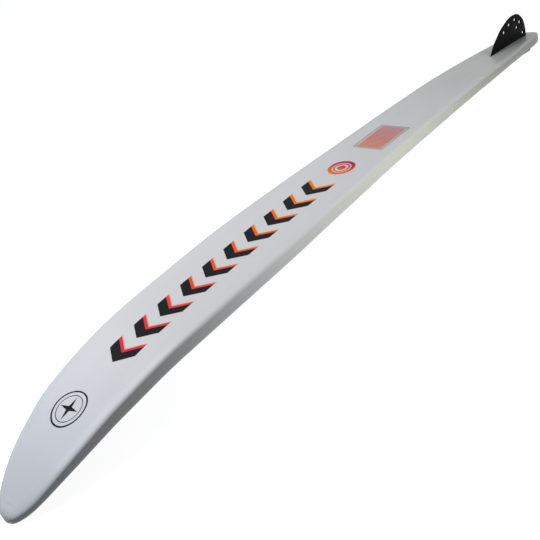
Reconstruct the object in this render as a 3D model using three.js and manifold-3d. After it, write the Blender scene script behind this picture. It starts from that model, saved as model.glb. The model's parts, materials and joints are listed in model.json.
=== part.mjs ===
// A slalom water ski, lying on its deck with the fin up, in millimetres, +Z up and the tip towards +X.
// It is built as the real ski is: two laminate skins round a foam core with hard plates for the
// binding inserts, and an adjustable fin held in a metal block on the deck.

import * as THREE from 'three';
import { mergeVertices } from 'three/addons/utils/BufferGeometryUtils.js';
import Module from 'manifold-3d';

const wasm = await Module();
wasm.setup();

// Ski body
const skiLength = 1702;          // tip to tail, a 67 inch ski
const maxWidth = 190;            // across the rails at the widest place
const endChord = 16;             // short straight edge that closes the tip and the tail
const tipRocker = 132;           // rise of the tip from the flat of the base
const tailRocker = 33;           // rise of the tail
const skiThickness = 30.4;         // base to deck at the thickest place
const tunnelDepth = 2;           // hollow along the base
const bevelWidth = 9.5;          // rounded edge between base and rail
const bevelDepth = 5.7;
const railLean = 1.4;            // how far the rail leans in towards the deck
const deckBevelWidth = 12;       // slanted edge of the deck
const deckBevelHeight = 3;
const rimHeight = 6;             // deck skin turned up along the rail
const skinThickness = 1.8;
const fitGap = 0.3;              // clearance between bonded or fitted pieces
const overrun = 20;              // how far every cutter runs past what it cuts

// Places along the ski as shares of its length from the tip
const flatShare = 0.588;         // lowest place of the base
const frontSeatShare = 0.479;    // middle of the front binding
const rearSeatShare = 0.655;     // middle of the rear binding

// Binding inserts, in two rows with a near and a far pair of each row at both ends
const frontRowSpacing = 102;
const rearRowSpacing = 89;
const insertPitch = 25.4;        // step of adjustment between two neighbours in a row
const frontGroupSpacing = 152.4; // between the middles of the pairs
const rearGroupSpacing = 101.6;
const insertDiameter = 11;
const insertFloor = 1.5;         // closed end of an insert
const insertBore = 5;            // tapping size of an M6 thread
const insertChamfer = 0.7;
const plateThickness = 10;       // hard plate that holds the inserts
const plateFloor = 1.1;          // plate left below an insert
const plateMargin = 14;          // plate round the outermost inserts
const seatMargin = 20;           // flat deck beyond the outermost inserts
const blockMargin = 10;          // flat deck beyond the fin block

// Fin
const finRootLength = 165;
const finTailGap = 41.5;         // from the rear end of the fin's root to the tail
const finHeight = 61.5;          // above the base
const finThickness = 3.2;
const finHoleDiameter = 8;
const finTravel = 5;             // fore and aft adjustment each way
const depthTravel = 3;           // depth adjustment each way
const runClearance = 1;          // left at the end of each travel
const earLength = 10;            // ears by which the two hangers lift the fin
const earReach = 4.3;            // ear inside its hanger
const earOffset = 14;            // middle of an ear beyond its depth screw
const slotRunout = 1.5;          // free slot past the fin at the end of its travel
const slotClearance = 0.4;       // each side of the blade

// Fin block
const blockLength = 172;
const flangeWidth = 39;
const flangeThickness = 4;
const flangeCorner = 7;
const housingWidth = 21;
const housingCorner = 4;
const blockHeight = 20.6;
const tailBevelLength = 6;       // bevel under the housing's rear end
const tailBevelHeight = 7;
const sideWall = 4;
const endWall = 8;
const carriageThickness = 6.2;
const carriageSink = 0.4;        // carriage below the block's outer face
const plateStandoff = 1;         // clamp plate above the deck
const clampRoom = 1.4;           // behind the clamp plate, to back it off
const clampScrewInset = 11;      // screws from the ends of the clamp plate
const clampScrewDiameter = 6;
const clampScrewLength = 6;
const clampScrewSocket = 3;
const slotBlockMargin = 6;       // slot reinforcement past the slot's ends
const slotBlockOverhang = 1.5;   // past the flange on each side

// Adjusting screws and hangers
const adjusterDiameter = 4;
const adjusterHeadDiameter = 6.8;
const adjusterHeadHeight = 4;
const adjusterSocket = 3;
const depthScrewInset = 42;      // screws from the ends of the block
const depthScrewReach = 11.5;    // shank below the head
const hangerInset = 6;           // hanger's inner end from its screw
const hangerOverhang = 2;        // hanger past the ear
const hangerHeight = 6.3;
const hangerSlotInset = 1;       // slot past the ear
const pinDiameter = 2;
const travelScrewReach = 29;     // shank of the fore and aft screw
const travelBoreDepth = 18;
const collarThickness = 1.5;
const collarDiameter = 6.8;

// Screws that hold the block to the ski
const mountInset = 10;           // screws from the ends of the block
const mountScrewDiameter = 4;
const mountTipClearance = 0.5;
const mountHeadMargin = 0.8;     // flange left round a screw's head
const mountHeadHeight = 2.6;
const mountSocket = 2.5;
const blockInsertDiameter = 7;
const blockInsertLength = 9.4;
const socketDepthShare = 0.6;    // of a screw head's height
const roundSides = 12;           // flats on a small round piece
const holeSides = 20;            // flats on the holes of the fin

// Shapes as shares: place from the tip, then the share of the size they follow
const halfWidthShares = [[0, 0], [0.0070, 0.279], [0.0176, 0.430], [0.0353, 0.577], [0.0646, 0.727],
  [0.1058, 0.858], [0.1645, 0.941], [0.2468, 0.993], [0.3525, 1], [0.4700, 0.920], [0.5876, 0.817],
  [0.6933, 0.748], [0.7873, 0.683], [0.8696, 0.584], [0.9283, 0.480], [0.9694, 0.385],
  [0.9880, 0.230], [1, 0]];
const tipRiseShares = [[0, 1], [0.100, 0.589], [0.200, 0.320], [0.350, 0.133], [0.500, 0.068],
  [0.700, 0.018], [0.900, 0.001], [1, 0]];
const tailRiseShares = [[0, 0], [0.10, 0.001], [0.43, 0.088], [0.64, 0.281], [0.857, 0.580],
  [0.965, 0.817], [1, 1]];
const thicknessShares = [[0, 0.46], [0.029, 0.57], [0.06, 0.737], [0.10, 0.875], [0.15, 0.954],
  [0.22, 0.997], [0.25, 1], [0.355, 0.967], [0.43, 0.92], [0.53, 0.866], [0.645, 0.798],
  [0.745, 0.732], [0.85, 0.668], [0.94, 0.58], [0.985, 0.525], [1, 0.387]];
const edgeSizeShares = [[0, 0.6], [0.09, 1], [0.85, 1], [1, 0.6]];
const tunnelShares = [[0, 0], [0.05, 0.2], [0.25, 1], [0.78, 1], [0.90, 0.2], [1, 0.1]];
const stationShares = [0, 0.0022, 0.0060, 0.0125, 0.0230, 0.0390, 0.0600, 0.0880, 0.1250, 0.1700,
  0.2250, 0.2900, 0.3550, 0.5750, 0.7550, 0.8080, 0.8500, 0.9200, 0.9550, 0.9720, 0.9840, 0.9920,
  0.9970, 1];
const tunnelColumnShares = [0.78, 0.42, 0, -0.42, -0.78];
const finOutlineShares = [[0, 0], [0.105, 0.320], [0.206, 0.520], [0.296, 0.685], [0.417, 0.837],
  [0.538, 0.948], [0.663, 1], [0.793, 0.972], [0.884, 0.828], [0.950, 0.640], [0.980, 0.440],
  [0.997, 0.200], [1, 0]];
const finHoleShares = [[0.393, 0.554], [0.548, 0.727], [0.714, 0.803], [0.847, 0.623],
  [0.916, 0.160], [0.758, 0.473]];
const bevelStepShares = [0, 0.25, 0.5, 0.75, 1];
const tuckShare = 0.3;           // of the skin, by which inner corners lie further in
const slopeStepShare = 0.002;    // of the length, over which the outline's slope is measured

// Finishes
const finishes = {
  baseGelcoat: { color: 0xe4e5e8, roughness: 0.3, metalness: 0 },
  deckGelcoat: { color: 0x2a2c30, roughness: 0.4, metalness: 0 },
  foam: { color: 0xd9cf9a, roughness: 0.9, metalness: 0 },
  glassPlate: { color: 0x9a8f5e, roughness: 0.7, metalness: 0 },
  brass: { color: 0xb9974f, roughness: 0.4, metalness: 1 },
  blackAnodised: { color: 0x131417, roughness: 0.5, metalness: 0.6 },
  bareAluminium: { color: 0xb4b8bc, roughness: 0.4, metalness: 1 },
  steel: { color: 0xa8abae, roughness: 0.3, metalness: 1 },
};

function mesh(name, geometry, finish) {
  const made = new THREE.Mesh(geometry, new THREE.MeshStandardMaterial(finishes[finish]));
  made.name = name;
  return made;
}

// A closed geometry as a solid that can be joined and cut
function solid(geometry) {
  const bare = geometry.clone();
  bare.deleteAttribute('normal');
  bare.deleteAttribute('uv');
  const merged = mergeVertices(bare);
  const corners = merged.index.array;
  const kept = [];
  for (let i = 0; i < corners.length; i += 3) {
    const [a, b, c] = corners.slice(i, i + 3);
    if (a !== b && b !== c && c !== a) kept.push(a, b, c);
  }
  const vertProperties = new Float32Array(merged.attributes.position.array);
  return new wasm.Manifold(new wasm.Mesh({ numProp: 3, vertProperties, triVerts: new Uint32Array(kept) }));
}

function geometryOf(shape) {
  const { vertProperties, triVerts } = shape.getMesh();
  const geometry = new THREE.BufferGeometry();
  geometry.setAttribute('position', new THREE.BufferAttribute(vertProperties, 3));
  geometry.setIndex(new THREE.BufferAttribute(triVerts, 1));
  geometry.computeVertexNormals();
  return geometry;
}

function cutAll(shape, cutters) {
  return cutters.reduce((rest, cutter) => rest.subtract(cutter), shape);
}

// A box from its low and high corners
function box([x0, y0, z0], [x1, y1, z1]) {
  return new THREE.BoxGeometry(x1 - x0, y1 - y0, z1 - z0)
    .translate((x0 + x1) / 2, (y0 + y1) / 2, (z0 + z1) / 2);
}

// A plate with rounded corners, centred on the Z axis
function roundedPlate(length, width, corner, low, high) {
  const outline = new THREE.Shape();
  const [x, y] = [length / 2, width / 2];
  const corners = [[x, y], [-x, y], [-x, -y], [x, -y]];
  corners.forEach(([cx, cy], turn) => {
    const [ox, oy] = [cx - Math.sign(cx) * corner, cy - Math.sign(cy) * corner];
    outline.absarc(ox, oy, corner, turn * Math.PI / 2, (turn + 1) * Math.PI / 2);
  });
  const options = { depth: high - low, bevelEnabled: false, curveSegments: 4 };
  return new THREE.ExtrudeGeometry(outline, options).translate(0, 0, low);
}

// A round bar along Z between two heights
function round(diameter, low, high, sides = roundSides) {
  return new THREE.CylinderGeometry(diameter / 2, diameter / 2, high - low, sides)
    .rotateX(Math.PI / 2).translate(0, 0, (low + high) / 2);
}

// A screw with a socket, its head above Z = 0 and its shank below
function screw({ diameter, reach, headDiameter, headHeight, socket }) {
  const profile = [[0, -reach], [diameter / 2, -reach], [diameter / 2, 0], [headDiameter / 2, 0],
    [headDiameter / 2, headHeight], [0, headHeight]].map(([r, z]) => new THREE.Vector2(r, z));
  const body = solid(new THREE.LatheGeometry(profile, roundSides).rotateX(Math.PI / 2));
  const hexagon = round(socket / Math.cos(Math.PI / 6), headHeight * (1 - socketDepthShare),
    headHeight + overrun, 6);
  return geometryOf(body.subtract(solid(hexagon)));
}

// A blind threaded insert with its mouth at Z = 0, running up
function insert(diameter, length, bore, boreDepth) {
  const [outer, inner] = [diameter / 2, bore / 2];
  const profile = [[0, boreDepth], [inner, boreDepth], [inner, insertChamfer],
    [inner + insertChamfer, 0], [outer, 0], [outer, length], [0, length]];
  const points = profile.map(([r, z]) => new THREE.Vector2(r, z));
  return geometryOf(solid(new THREE.LatheGeometry(points, roundSides).rotateX(Math.PI / 2)));
}

// A smooth curve through hand-chosen points that never overshoots them
function curveThrough(points) {
  const last = points.length - 1;
  const steps = points.slice(1).map(([x, y], i) => (y - points[i][1]) / (x - points[i][0]));
  const slopes = points.map((point, i) => {
    if (i === 0 || i === last) return steps[Math.min(i, last - 1)];
    const [before, after] = [steps[i - 1], steps[i]];
    return before * after <= 0 ? 0 : 2 * before * after / (before + after);
  });
  return (x) => {
    let i = 0;
    while (i < last - 1 && x > points[i + 1][0]) i += 1;
    const [[x0, y0], [x1, y1]] = [points[i], points[i + 1]];
    const t = THREE.MathUtils.clamp((x - x0) / (x1 - x0), 0, 1);
    const bend = (slopes[i] * (1 - t) - slopes[i + 1] * t) * (x1 - x0) * t * (1 - t);
    return THREE.MathUtils.lerp(y0, y1, t * t * (3 - 2 * t)) + bend;
  };
}

// Lines of the ski, by the distance s from the tip
const endShare = endChord / maxWidth;
const widthCurve = curveThrough(halfWidthShares.map(([at, share]) =>
  [at, Math.max(share, endShare) ** 2]));
const tipCurve = curveThrough(tipRiseShares);
const tailCurve = curveThrough(tailRiseShares);
const thicknessCurve = curveThrough(thicknessShares);
const edgeCurve = curveThrough(edgeSizeShares);
const tunnelCurve = curveThrough(tunnelShares);

function baseHeight(s) {
  const flat = flatShare * skiLength;
  return s < flat ? -tipRocker * tipCurve(s / flat)
    : -tailRocker * tailCurve((s - flat) / (skiLength - flat));
}

// The deck is dead flat under each binding and under the fin block
const frontSeat = frontSeatShare * skiLength;
const rearSeat = rearSeatShare * skiLength;
const finSeat = skiLength - finTailGap - finRootLength / 2;
const frontPattern = (frontGroupSpacing + insertPitch) / 2 + seatMargin;
const rearPattern = (rearGroupSpacing + insertPitch) / 2 + seatMargin;
const flatZones = [[frontSeat, frontPattern], [rearSeat, rearPattern],
  [finSeat, blockLength / 2 + blockMargin]].map(([s, reach]) => [s - reach, s + reach]);

function deckHeight(s) {
  const natural = (at) => baseHeight(at) - skiThickness * thicknessCurve(at / skiLength);
  const zone = flatZones.find(([start, end]) => s > start && s < end);
  if (!zone) return natural(s);
  const [start, end] = zone;
  return THREE.MathUtils.lerp(natural(start), natural(end), (s - start) / (end - start));
}

// The outline moved inwards by an offset
function outlinePoint(s, offset) {
  const near = slopeStepShare * skiLength / 2;
  const [s0, s1] = [Math.max(0, s - near), Math.min(skiLength, s + near)];
  const squared = (at) => widthCurve(at / skiLength) * (maxWidth / 2) ** 2;
  const half = Math.sqrt(squared(s));
  const inward = new THREE.Vector2((squared(s1) - squared(s0)) / (s1 - s0) / 2, -half).normalize();
  return { s: s + offset * inward.x, half: half + offset * inward.y };
}

const stations = [...stationShares.map((share) => share * skiLength), ...flatZones.flat()]
  .sort((a, b) => a - b);

// A closed ring round the ski: one side from tip to tail, then the other side back
function ring(offsetAt, heightAt) {
  const side = stations.map((s) => {
    const size = edgeCurve(s / skiLength);
    const point = outlinePoint(s, offsetAt(size, s));
    return new THREE.Vector3(-point.s, point.half, heightAt(point.s, size));
  });
  const other = side.map(({ x, y, z }) => new THREE.Vector3(x, -y, z)).reverse();
  return [...side, ...other];
}

// Triangles between two rows of points that run the same way
function stitch(ahead, behind) {
  const faces = [];
  let [i, j] = [0, 0];
  while (i < ahead.length - 1 || j < behind.length - 1) {
    const nextAhead = (i + 1) / (ahead.length - 1);
    const nextBehind = (j + 1) / (behind.length - 1);
    if (nextBehind <= nextAhead) {
      faces.push(ahead[i], behind[j], behind[j + 1]);
      j += 1;
    } else {
      faces.push(ahead[i], behind[j], ahead[i + 1]);
      i += 1;
    }
  }
  return faces;
}

// The surface across a ring, drawn down along the middle by the tunnel
function cap(edge, columns) {
  const rows = stations.map((s, i) => {
    const [right, left] = [edge[i], edge[edge.length - 1 - i]];
    const ends = i === 0 || i === stations.length - 1;
    const inner = ends ? [] : columns.map((share) => new THREE.Vector3(right.x, share * right.y,
      right.z - tunnelDepth * tunnelCurve(-right.x / skiLength) * (1 - share * share)));
    return [right, ...inner, left];
  });
  return rows.slice(1).flatMap((row, i) => stitch(rows[i], row));
}

// A body of rings, from the edge of its upper surface to the edge of its lower one
function loft(rings, upperColumns, lowerColumns) {
  const faces = cap(rings[0], upperColumns);
  rings.slice(1).forEach((lower, k) => {
    const upper = rings[k];
    upper.forEach((point, i) => {
      const next = (i + 1) % upper.length;
      const [a, b, c, d] = [point, lower[i], lower[next], upper[next]];
      const shorter = a.distanceTo(c) < b.distanceTo(d);
      faces.push(...(shorter ? [a, b, c, a, c, d] : [a, b, d, b, c, d]));
    });
  });
  const under = cap(rings[rings.length - 1], lowerColumns);
  for (let i = 0; i < under.length; i += 3) faces.push(under[i], under[i + 2], under[i + 1]);
  return solid(new THREE.BufferGeometry().setFromPoints(faces));
}

// Heights on the rail
const widestHeight = (s, size) => baseHeight(s) - bevelDepth * size;
const deckEdgeHeight = (s, size) => deckHeight(s) + deckBevelHeight * size;
const partingHeight = (s, size) => deckEdgeHeight(s, size) + rimHeight * size;
const skinTuck = skinThickness * tuckShare;
const deckLandOffset = (size) => (railLean + deckBevelWidth) * size;
const partingOffset = (size, s) => {
  const [top, seam, foot] = [widestHeight, partingHeight, deckEdgeHeight].map((at) => at(s, size));
  return railLean * size * (top - seam) / (top - foot);
};

// Bottom skin: base, rounded edges and the upper part of the rails
function bottomSkin() {
  const bevel = bevelStepShares.map((share) => {
    const angle = share * Math.PI / 2;
    return ring((size) => bevelWidth * size * (1 - Math.sin(angle)),
      (s, size) => baseHeight(s) - bevelDepth * size * (1 - Math.cos(angle)));
  });
  const lip = (s, size) => partingHeight(s, size) + fitGap / 2;
  return loft([
    ...bevel,
    ring(partingOffset, lip),
    ring((size, s) => partingOffset(size, s) + skinThickness, lip),
    ring(() => skinThickness, widestHeight),
    ring((size) => bevelWidth * size + skinTuck, (s) => baseHeight(s) - skinThickness),
  ], tunnelColumnShares, tunnelColumnShares);
}

// Deck skin: deck, its slanted edges and a rim turned up along the rails
function deckSkin() {
  const lip = (s, size) => partingHeight(s, size) - fitGap / 2;
  return loft([
    ring((size) => deckLandOffset(size) + skinTuck, (s) => deckHeight(s) + skinThickness),
    ring((size) => railLean * size + skinThickness, (s, size) => deckEdgeHeight(s, size) + skinTuck),
    ring((size, s) => partingOffset(size, s) + skinThickness, lip),
    ring(partingOffset, lip),
    ring((size) => railLean * size, deckEdgeHeight),
    ring(deckLandOffset, deckHeight),
  ], [], []);
}

// The space inside the skins, less the clearance
function coreBlank() {
  const inset = skinThickness + fitGap;
  return loft([
    ring((size) => bevelWidth * size + skinTuck + fitGap, (s) => baseHeight(s) - inset),
    ring(() => inset, (s, size) => widestHeight(s, size) - fitGap),
    ring((size) => railLean * size + inset, (s, size) => deckEdgeHeight(s, size) + skinTuck + fitGap),
    ring((size) => deckLandOffset(size) + skinTuck + fitGap, (s) => deckHeight(s) + inset),
  ], tunnelColumnShares, []);
}

// A frame on the deck's surface at a place along the ski, its Z axis up into the ski
function deckFrame(s) {
  const [ahead, behind] = [s - seatMargin / 2, s + seatMargin / 2];
  const slope = Math.atan2(deckHeight(ahead) - deckHeight(behind), behind - ahead);
  return new THREE.Matrix4().makeRotationY(-slope).setPosition(-s, 0, deckHeight(s));
}

const placed = (geometry, frame) => solid(geometry.clone().applyMatrix4(frame));

const insertLength = skinThickness + fitGap + plateThickness - plateFloor;

function bindingSeat(name, s, rowSpacing, groupSpacing) {
  const frame = deckFrame(s);
  const reaches = [-1, 1].flatMap((group) => [-1, 1].map((step) =>
    (group * groupSpacing + step * insertPitch) / 2));
  const places = reaches.flatMap((x) => [rowSpacing / 2, -rowSpacing / 2].map((y) => [x, y]));
  const reach = (groupSpacing + insertPitch) / 2 + plateMargin;
  const half = rowSpacing / 2 + plateMargin;
  const plate = box([-reach, -half, 0], [reach, half, skinThickness + fitGap + plateThickness]);
  const pocket = box([-reach - fitGap, -half - fitGap, -overrun],
    [reach + fitGap, half + fitGap, skinThickness + 2 * fitGap + plateThickness]);
  const hole = round(insertDiameter + 2 * fitGap, -overrun, insertLength + fitGap);
  return { name, frame, places, plate, pocket, hole };
}

const seats = [
  bindingSeat('front', frontSeat, frontRowSpacing, frontGroupSpacing),
  bindingSeat('rear', rearSeat, rearRowSpacing, rearGroupSpacing),
];

// Fin: all its pieces are placed from the deck's surface at the fin, Z up into the ski
const finFrame = deckFrame(finSeat);
const rootHalf = finRootLength / 2;
const slotHalf = rootHalf + finTravel + slotRunout;
const channelHalfLength = blockLength / 2 - endWall;
const channelHalfWidth = housingWidth / 2 - sideWall;
const bladeHalf = finThickness / 2;
const carriageHigh = blockHeight - carriageSink;
const carriageLow = carriageHigh - carriageThickness;
const carriageHalf = channelHalfWidth - fitGap;
const carriageLength = 2 * (channelHalfLength - finTravel - collarThickness - 2 * runClearance);
const adjusterHeight = (carriageLow + carriageHigh) / 2;
const counterboreDepth = adjusterHeadHeight + 2 * fitGap;
const headSeat = carriageHigh - counterboreDepth + fitGap;

// Hangers and the fin's ears, by their distance out from the deck
const hangerStandoff = carriageLow - depthTravel - runClearance - hangerHeight;
const earDepth = hangerStandoff + earReach;
const pinStandoff = hangerStandoff + earReach / 2;
const depthScrewPlace = blockLength / 2 - depthScrewInset;
const earPlace = depthScrewPlace + earOffset;
const hangerInnerEnd = depthScrewPlace - hangerInset;
const hangerOuterEnd = earPlace + earLength / 2 + hangerOverhang;
const landLength = 2 * (hangerInnerEnd - finTravel - 2 * runClearance);
const landHeight = carriageLow - fitGap;
const finShoulder = depthTravel + runClearance;
const tabDepth = carriageLow - depthTravel - 3 * runClearance;
const screwTipDepth = headSeat - depthScrewReach - depthTravel;
const tabValleyDepth = Math.min(screwTipDepth, hangerStandoff) - 2 * fitGap;

const clampScrewPlace = landLength / 2 - clampScrewInset;
const clampPlaces = [clampScrewPlace, -clampScrewPlace];
const clampHeight = flangeThickness + fitGap + clampScrewDiameter / 2;
const clampFace = channelHalfWidth - clampRoom;
const depthPlaces = [['front', depthScrewPlace], ['rear', -depthScrewPlace]];
const mountScrewPlace = blockLength / 2 - mountInset;
const mountScrewRow = (flangeWidth + housingWidth) / 2;
const mountHeadDiameter = (flangeWidth - housingWidth) / 2 - 2 * mountHeadMargin;
const mountBoreDepth = blockInsertLength - insertChamfer;
const mountScrewReach = flangeThickness + fitGap + mountBoreDepth - mountTipClearance;
const mountPlaces = [mountScrewPlace, 0, -mountScrewPlace].flatMap((x) =>
  [mountScrewRow / 2, -mountScrewRow / 2].map((y) => [x, y]));

function finBlade() {
  const rootLevel = (x) => baseHeight(finSeat - x) - deckHeight(finSeat - x);
  const point = ([along, up]) => {
    const x = rootHalf - along * finRootLength;
    return new THREE.Vector2(x, rootLevel(x) + up * finHeight);
  };
  const exposed = new THREE.SplineCurve(finOutlineShares.map(point)).getPoints(36);
  const earInner = earPlace - earLength / 2;
  const earOuter = earPlace + earLength / 2;
  const tabHalf = earOuter + fitGap;
  const clampHalf = landLength / 2;
  const oneSide = [[-rootHalf, finShoulder], [-tabHalf, finShoulder], [-tabHalf, -tabValleyDepth],
    [-earOuter, -tabValleyDepth], [-earOuter, -earDepth], [-earInner, -earDepth],
    [-earInner, -tabValleyDepth], [-clampHalf, -tabValleyDepth], [-clampHalf, -tabDepth]];
  const tab = [...oneSide, ...oneSide.map(([x, z]) => [-x, z]).reverse()];
  const outline = new THREE.Shape([...exposed, ...tab.map(([x, z]) => new THREE.Vector2(x, z))]);
  const drill = ([x, z], diameter) => {
    const hole = new THREE.Path();
    const rim = Array.from({ length: holeSides }, (_, k) => {
      const turn = -k * 2 * Math.PI / holeSides;
      return new THREE.Vector2(x + Math.cos(turn) * diameter / 2, z + Math.sin(turn) * diameter / 2);
    });
    hole.setFromPoints(rim);
    outline.holes.push(hole);
  };
  finHoleShares.map(point).forEach(({ x, y }) => drill([x, y], finHoleDiameter));
  [earPlace, -earPlace].forEach((x) => drill([x, -pinStandoff], pinDiameter + 2 * fitGap));
  return new THREE.ExtrudeGeometry(outline, { depth: finThickness, bevelEnabled: false })
    .translate(0, 0, -bladeHalf).rotateX(Math.PI / 2);
}

// A wedge that takes off the housing's rear end at an angle
function tailWedge() {
  const end = -blockLength / 2;
  const corners = [[end - tailBevelLength, 2 * tailBevelHeight], [end + 2 * tailBevelLength, -tailBevelHeight],
    [end - tailBevelLength, -tailBevelHeight]];
  const side = new THREE.Shape(corners.map(([x, up]) => new THREE.Vector2(x, up - blockHeight)));
  return new THREE.ExtrudeGeometry(side, { depth: 2 * housingWidth, bevelEnabled: false })
    .translate(0, 0, -housingWidth).rotateX(Math.PI / 2);
}

// Everything on the block is drawn by its distance out from the deck, so heights are negative
function blockBody() {
  const flange = roundedPlate(blockLength, flangeWidth, flangeCorner, -flangeThickness, -fitGap);
  const housing = roundedPlate(blockLength, housingWidth, housingCorner, -blockHeight, -fitGap);
  const channel = box([-channelHalfLength, -channelHalfWidth, -blockHeight - overrun],
    [channelHalfLength, channelHalfWidth, overrun]);
  const land = box([-landLength / 2, -channelHalfWidth - sideWall / 2, -landHeight],
    [landLength / 2, -bladeHalf - fitGap, -fitGap]);
  const mountHole = round(mountScrewDiameter + 2 * fitGap, -flangeThickness - overrun, overrun);
  const clampHole = round(clampScrewDiameter + 2 * fitGap, 0, housingWidth)
    .rotateX(-Math.PI / 2).translate(0, 0, -clampHeight);
  const travelHole = round(adjusterDiameter + 2 * fitGap, 0, blockLength)
    .rotateY(Math.PI / 2).translate(0, 0, -adjusterHeight);
  const shell = solid(flange).add(solid(housing)).subtract(solid(channel)).add(solid(land));
  return cutAll(shell, [
    solid(tailWedge()),
    ...mountPlaces.map(([x, y]) => solid(mountHole.clone().translate(x, y, 0))),
    ...clampPlaces.map((x) => solid(clampHole.clone().translate(x, 0, 0))),
    solid(travelHole),
  ]);
}

function clampPlate() {
  return box([-landLength / 2, bladeHalf + fitGap, -landHeight + fitGap],
    [landLength / 2, clampFace, -plateStandoff]);
}

// A set screw whose tip bears on the clamp plate, running out across the ski
function clampScrew(x) {
  const body = solid(round(clampScrewDiameter, 0, clampScrewLength));
  const hexagon = round(clampScrewSocket / Math.cos(Math.PI / 6),
    clampScrewLength * (1 - socketDepthShare), clampScrewLength + overrun, 6);
  return geometryOf(body.subtract(solid(hexagon)))
    .rotateX(-Math.PI / 2).translate(x, clampFace + fitGap, -clampHeight);
}

function carriageBar() {
  const bar = solid(box([-carriageLength / 2, -carriageHalf, -carriageHigh],
    [carriageLength / 2, carriageHalf, -carriageLow]));
  const through = round(adjusterDiameter + 2 * fitGap, -blockHeight - overrun, overrun);
  const counterbore = round(adjusterHeadDiameter + 2 * fitGap, -blockHeight - overrun,
    counterboreDepth - carriageHigh);
  const bore = round(adjusterDiameter + 2 * fitGap, carriageLength / 2 - travelBoreDepth,
    carriageLength / 2 + overrun).rotateY(Math.PI / 2).translate(0, 0, -adjusterHeight);
  return cutAll(bar, [
    ...depthPlaces.flatMap(([, x]) => [through, counterbore].map((cut) =>
      solid(cut.clone().translate(x, 0, 0)))),
    solid(bore),
  ]);
}

const adjuster = (reach) => screw({ diameter: adjusterDiameter, reach,
  headDiameter: adjusterHeadDiameter, headHeight: adjusterHeadHeight, socket: adjusterSocket });

// A hanger holds one ear of the fin in its slot and is lifted by a depth screw
function hanger(side) {
  const [low, high] = [-hangerStandoff - hangerHeight, -hangerStandoff];
  const body = solid(box([hangerInnerEnd, -carriageHalf, low],
    [hangerOuterEnd, carriageHalf, high]));
  const slot = box([earPlace - earLength / 2 - hangerSlotInset, -bladeHalf - fitGap,
    -earDepth - fitGap * 2], [hangerOuterEnd + overrun, bladeHalf + fitGap, overrun]);
  const screwHole = round(adjusterDiameter + 2 * fitGap, -blockHeight, overrun)
    .translate(depthScrewPlace, 0, 0);
  const pinHole = round(pinDiameter + 2 * fitGap, -housingWidth, housingWidth)
    .rotateX(-Math.PI / 2).translate(earPlace, 0, -pinStandoff);
  const cut = cutAll(body, [solid(slot), solid(screwHole), solid(pinHole)]);
  return side === 'front' ? geometryOf(cut) : geometryOf(cut).rotateZ(Math.PI);
}

function finUnit() {
  const group = new THREE.Group();
  group.add(mesh('fin_blade', finBlade(), 'blackAnodised'));
  group.add(mesh('fin_block_body', geometryOf(blockBody()), 'blackAnodised'));
  group.add(mesh('clamp_plate', clampPlate(), 'bareAluminium'));
  group.add(mesh('carriage_bar', geometryOf(carriageBar()), 'bareAluminium'));
  clampPlaces.forEach((x) =>
    group.add(mesh(`clamp_screw_${x > 0 ? 'front' : 'rear'}`, clampScrew(x), 'steel')));

  depthPlaces.forEach(([side, x]) => {
    const depthScrew = mesh(`depth_screw_${side}`, adjuster(depthScrewReach), 'steel');
    depthScrew.rotation.x = Math.PI;
    depthScrew.position.set(x, 0, -headSeat);
    const pin = mesh(`hanger_pin_${side}`, round(pinDiameter, -carriageHalf, carriageHalf), 'steel');
    pin.rotation.x = Math.PI / 2;
    pin.position.set(Math.sign(x) * earPlace, 0, -pinStandoff);
    group.add(depthScrew, mesh(`hanger_${side}`, hanger(side), 'bareAluminium'), pin);
  });

  const travelScrew = mesh('travel_screw', adjuster(travelScrewReach), 'steel');
  travelScrew.rotation.y = Math.PI / 2;
  travelScrew.position.set(blockLength / 2 + fitGap, 0, -adjusterHeight);
  const collarShape = solid(round(collarDiameter, 0, collarThickness))
    .subtract(solid(round(adjusterDiameter + 2 * fitGap, -overrun, overrun)));
  const collar = mesh('travel_screw_collar', geometryOf(collarShape), 'steel');
  collar.rotation.y = Math.PI / 2;
  collar.position.set(channelHalfLength - fitGap - collarThickness, 0, -adjusterHeight);
  group.add(travelScrew, collar);

  mountPlaces.forEach(([x, y], i) => {
    const mountScrew = mesh(`block_screw_${i + 1}`, screw({ diameter: mountScrewDiameter,
      reach: mountScrewReach, headDiameter: mountHeadDiameter, headHeight: mountHeadHeight,
      socket: mountSocket }), 'steel');
    mountScrew.rotation.x = Math.PI;
    mountScrew.position.set(x, y, -flangeThickness - fitGap);
    const mouth = mesh(`block_insert_${i + 1}`, insert(blockInsertDiameter, blockInsertLength,
      mountScrewDiameter + 2 * fitGap, mountBoreDepth), 'brass');
    mouth.position.set(x, y, 0);
    group.add(mountScrew, mouth);
  });
  group.applyMatrix4(finFrame);
  return group;
}

// Cutters that the fin and its block need in the skins and the core
const finSlot = box([-slotHalf, -bladeHalf - slotClearance, -overrun],
  [slotHalf, bladeHalf + slotClearance, skiThickness + overrun]);
const slotBlockReach = slotHalf + slotBlockMargin;
const slotBlockHalf = flangeWidth / 2 + slotBlockOverhang;
const slotBlockBox = box([-slotBlockReach, -slotBlockHalf, -overrun],
  [slotBlockReach, slotBlockHalf, skiThickness + overrun]);
const slotBlockPocket = box([-slotBlockReach - fitGap, -slotBlockHalf - fitGap, -overrun],
  [slotBlockReach + fitGap, slotBlockHalf + fitGap, skiThickness + overrun]);
const blockInsertHole = round(blockInsertDiameter + 2 * fitGap, -overrun, blockInsertLength + fitGap);
const blockInsertHoles = mountPlaces.map(([x, y]) => blockInsertHole.clone().translate(x, y, 0));

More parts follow.
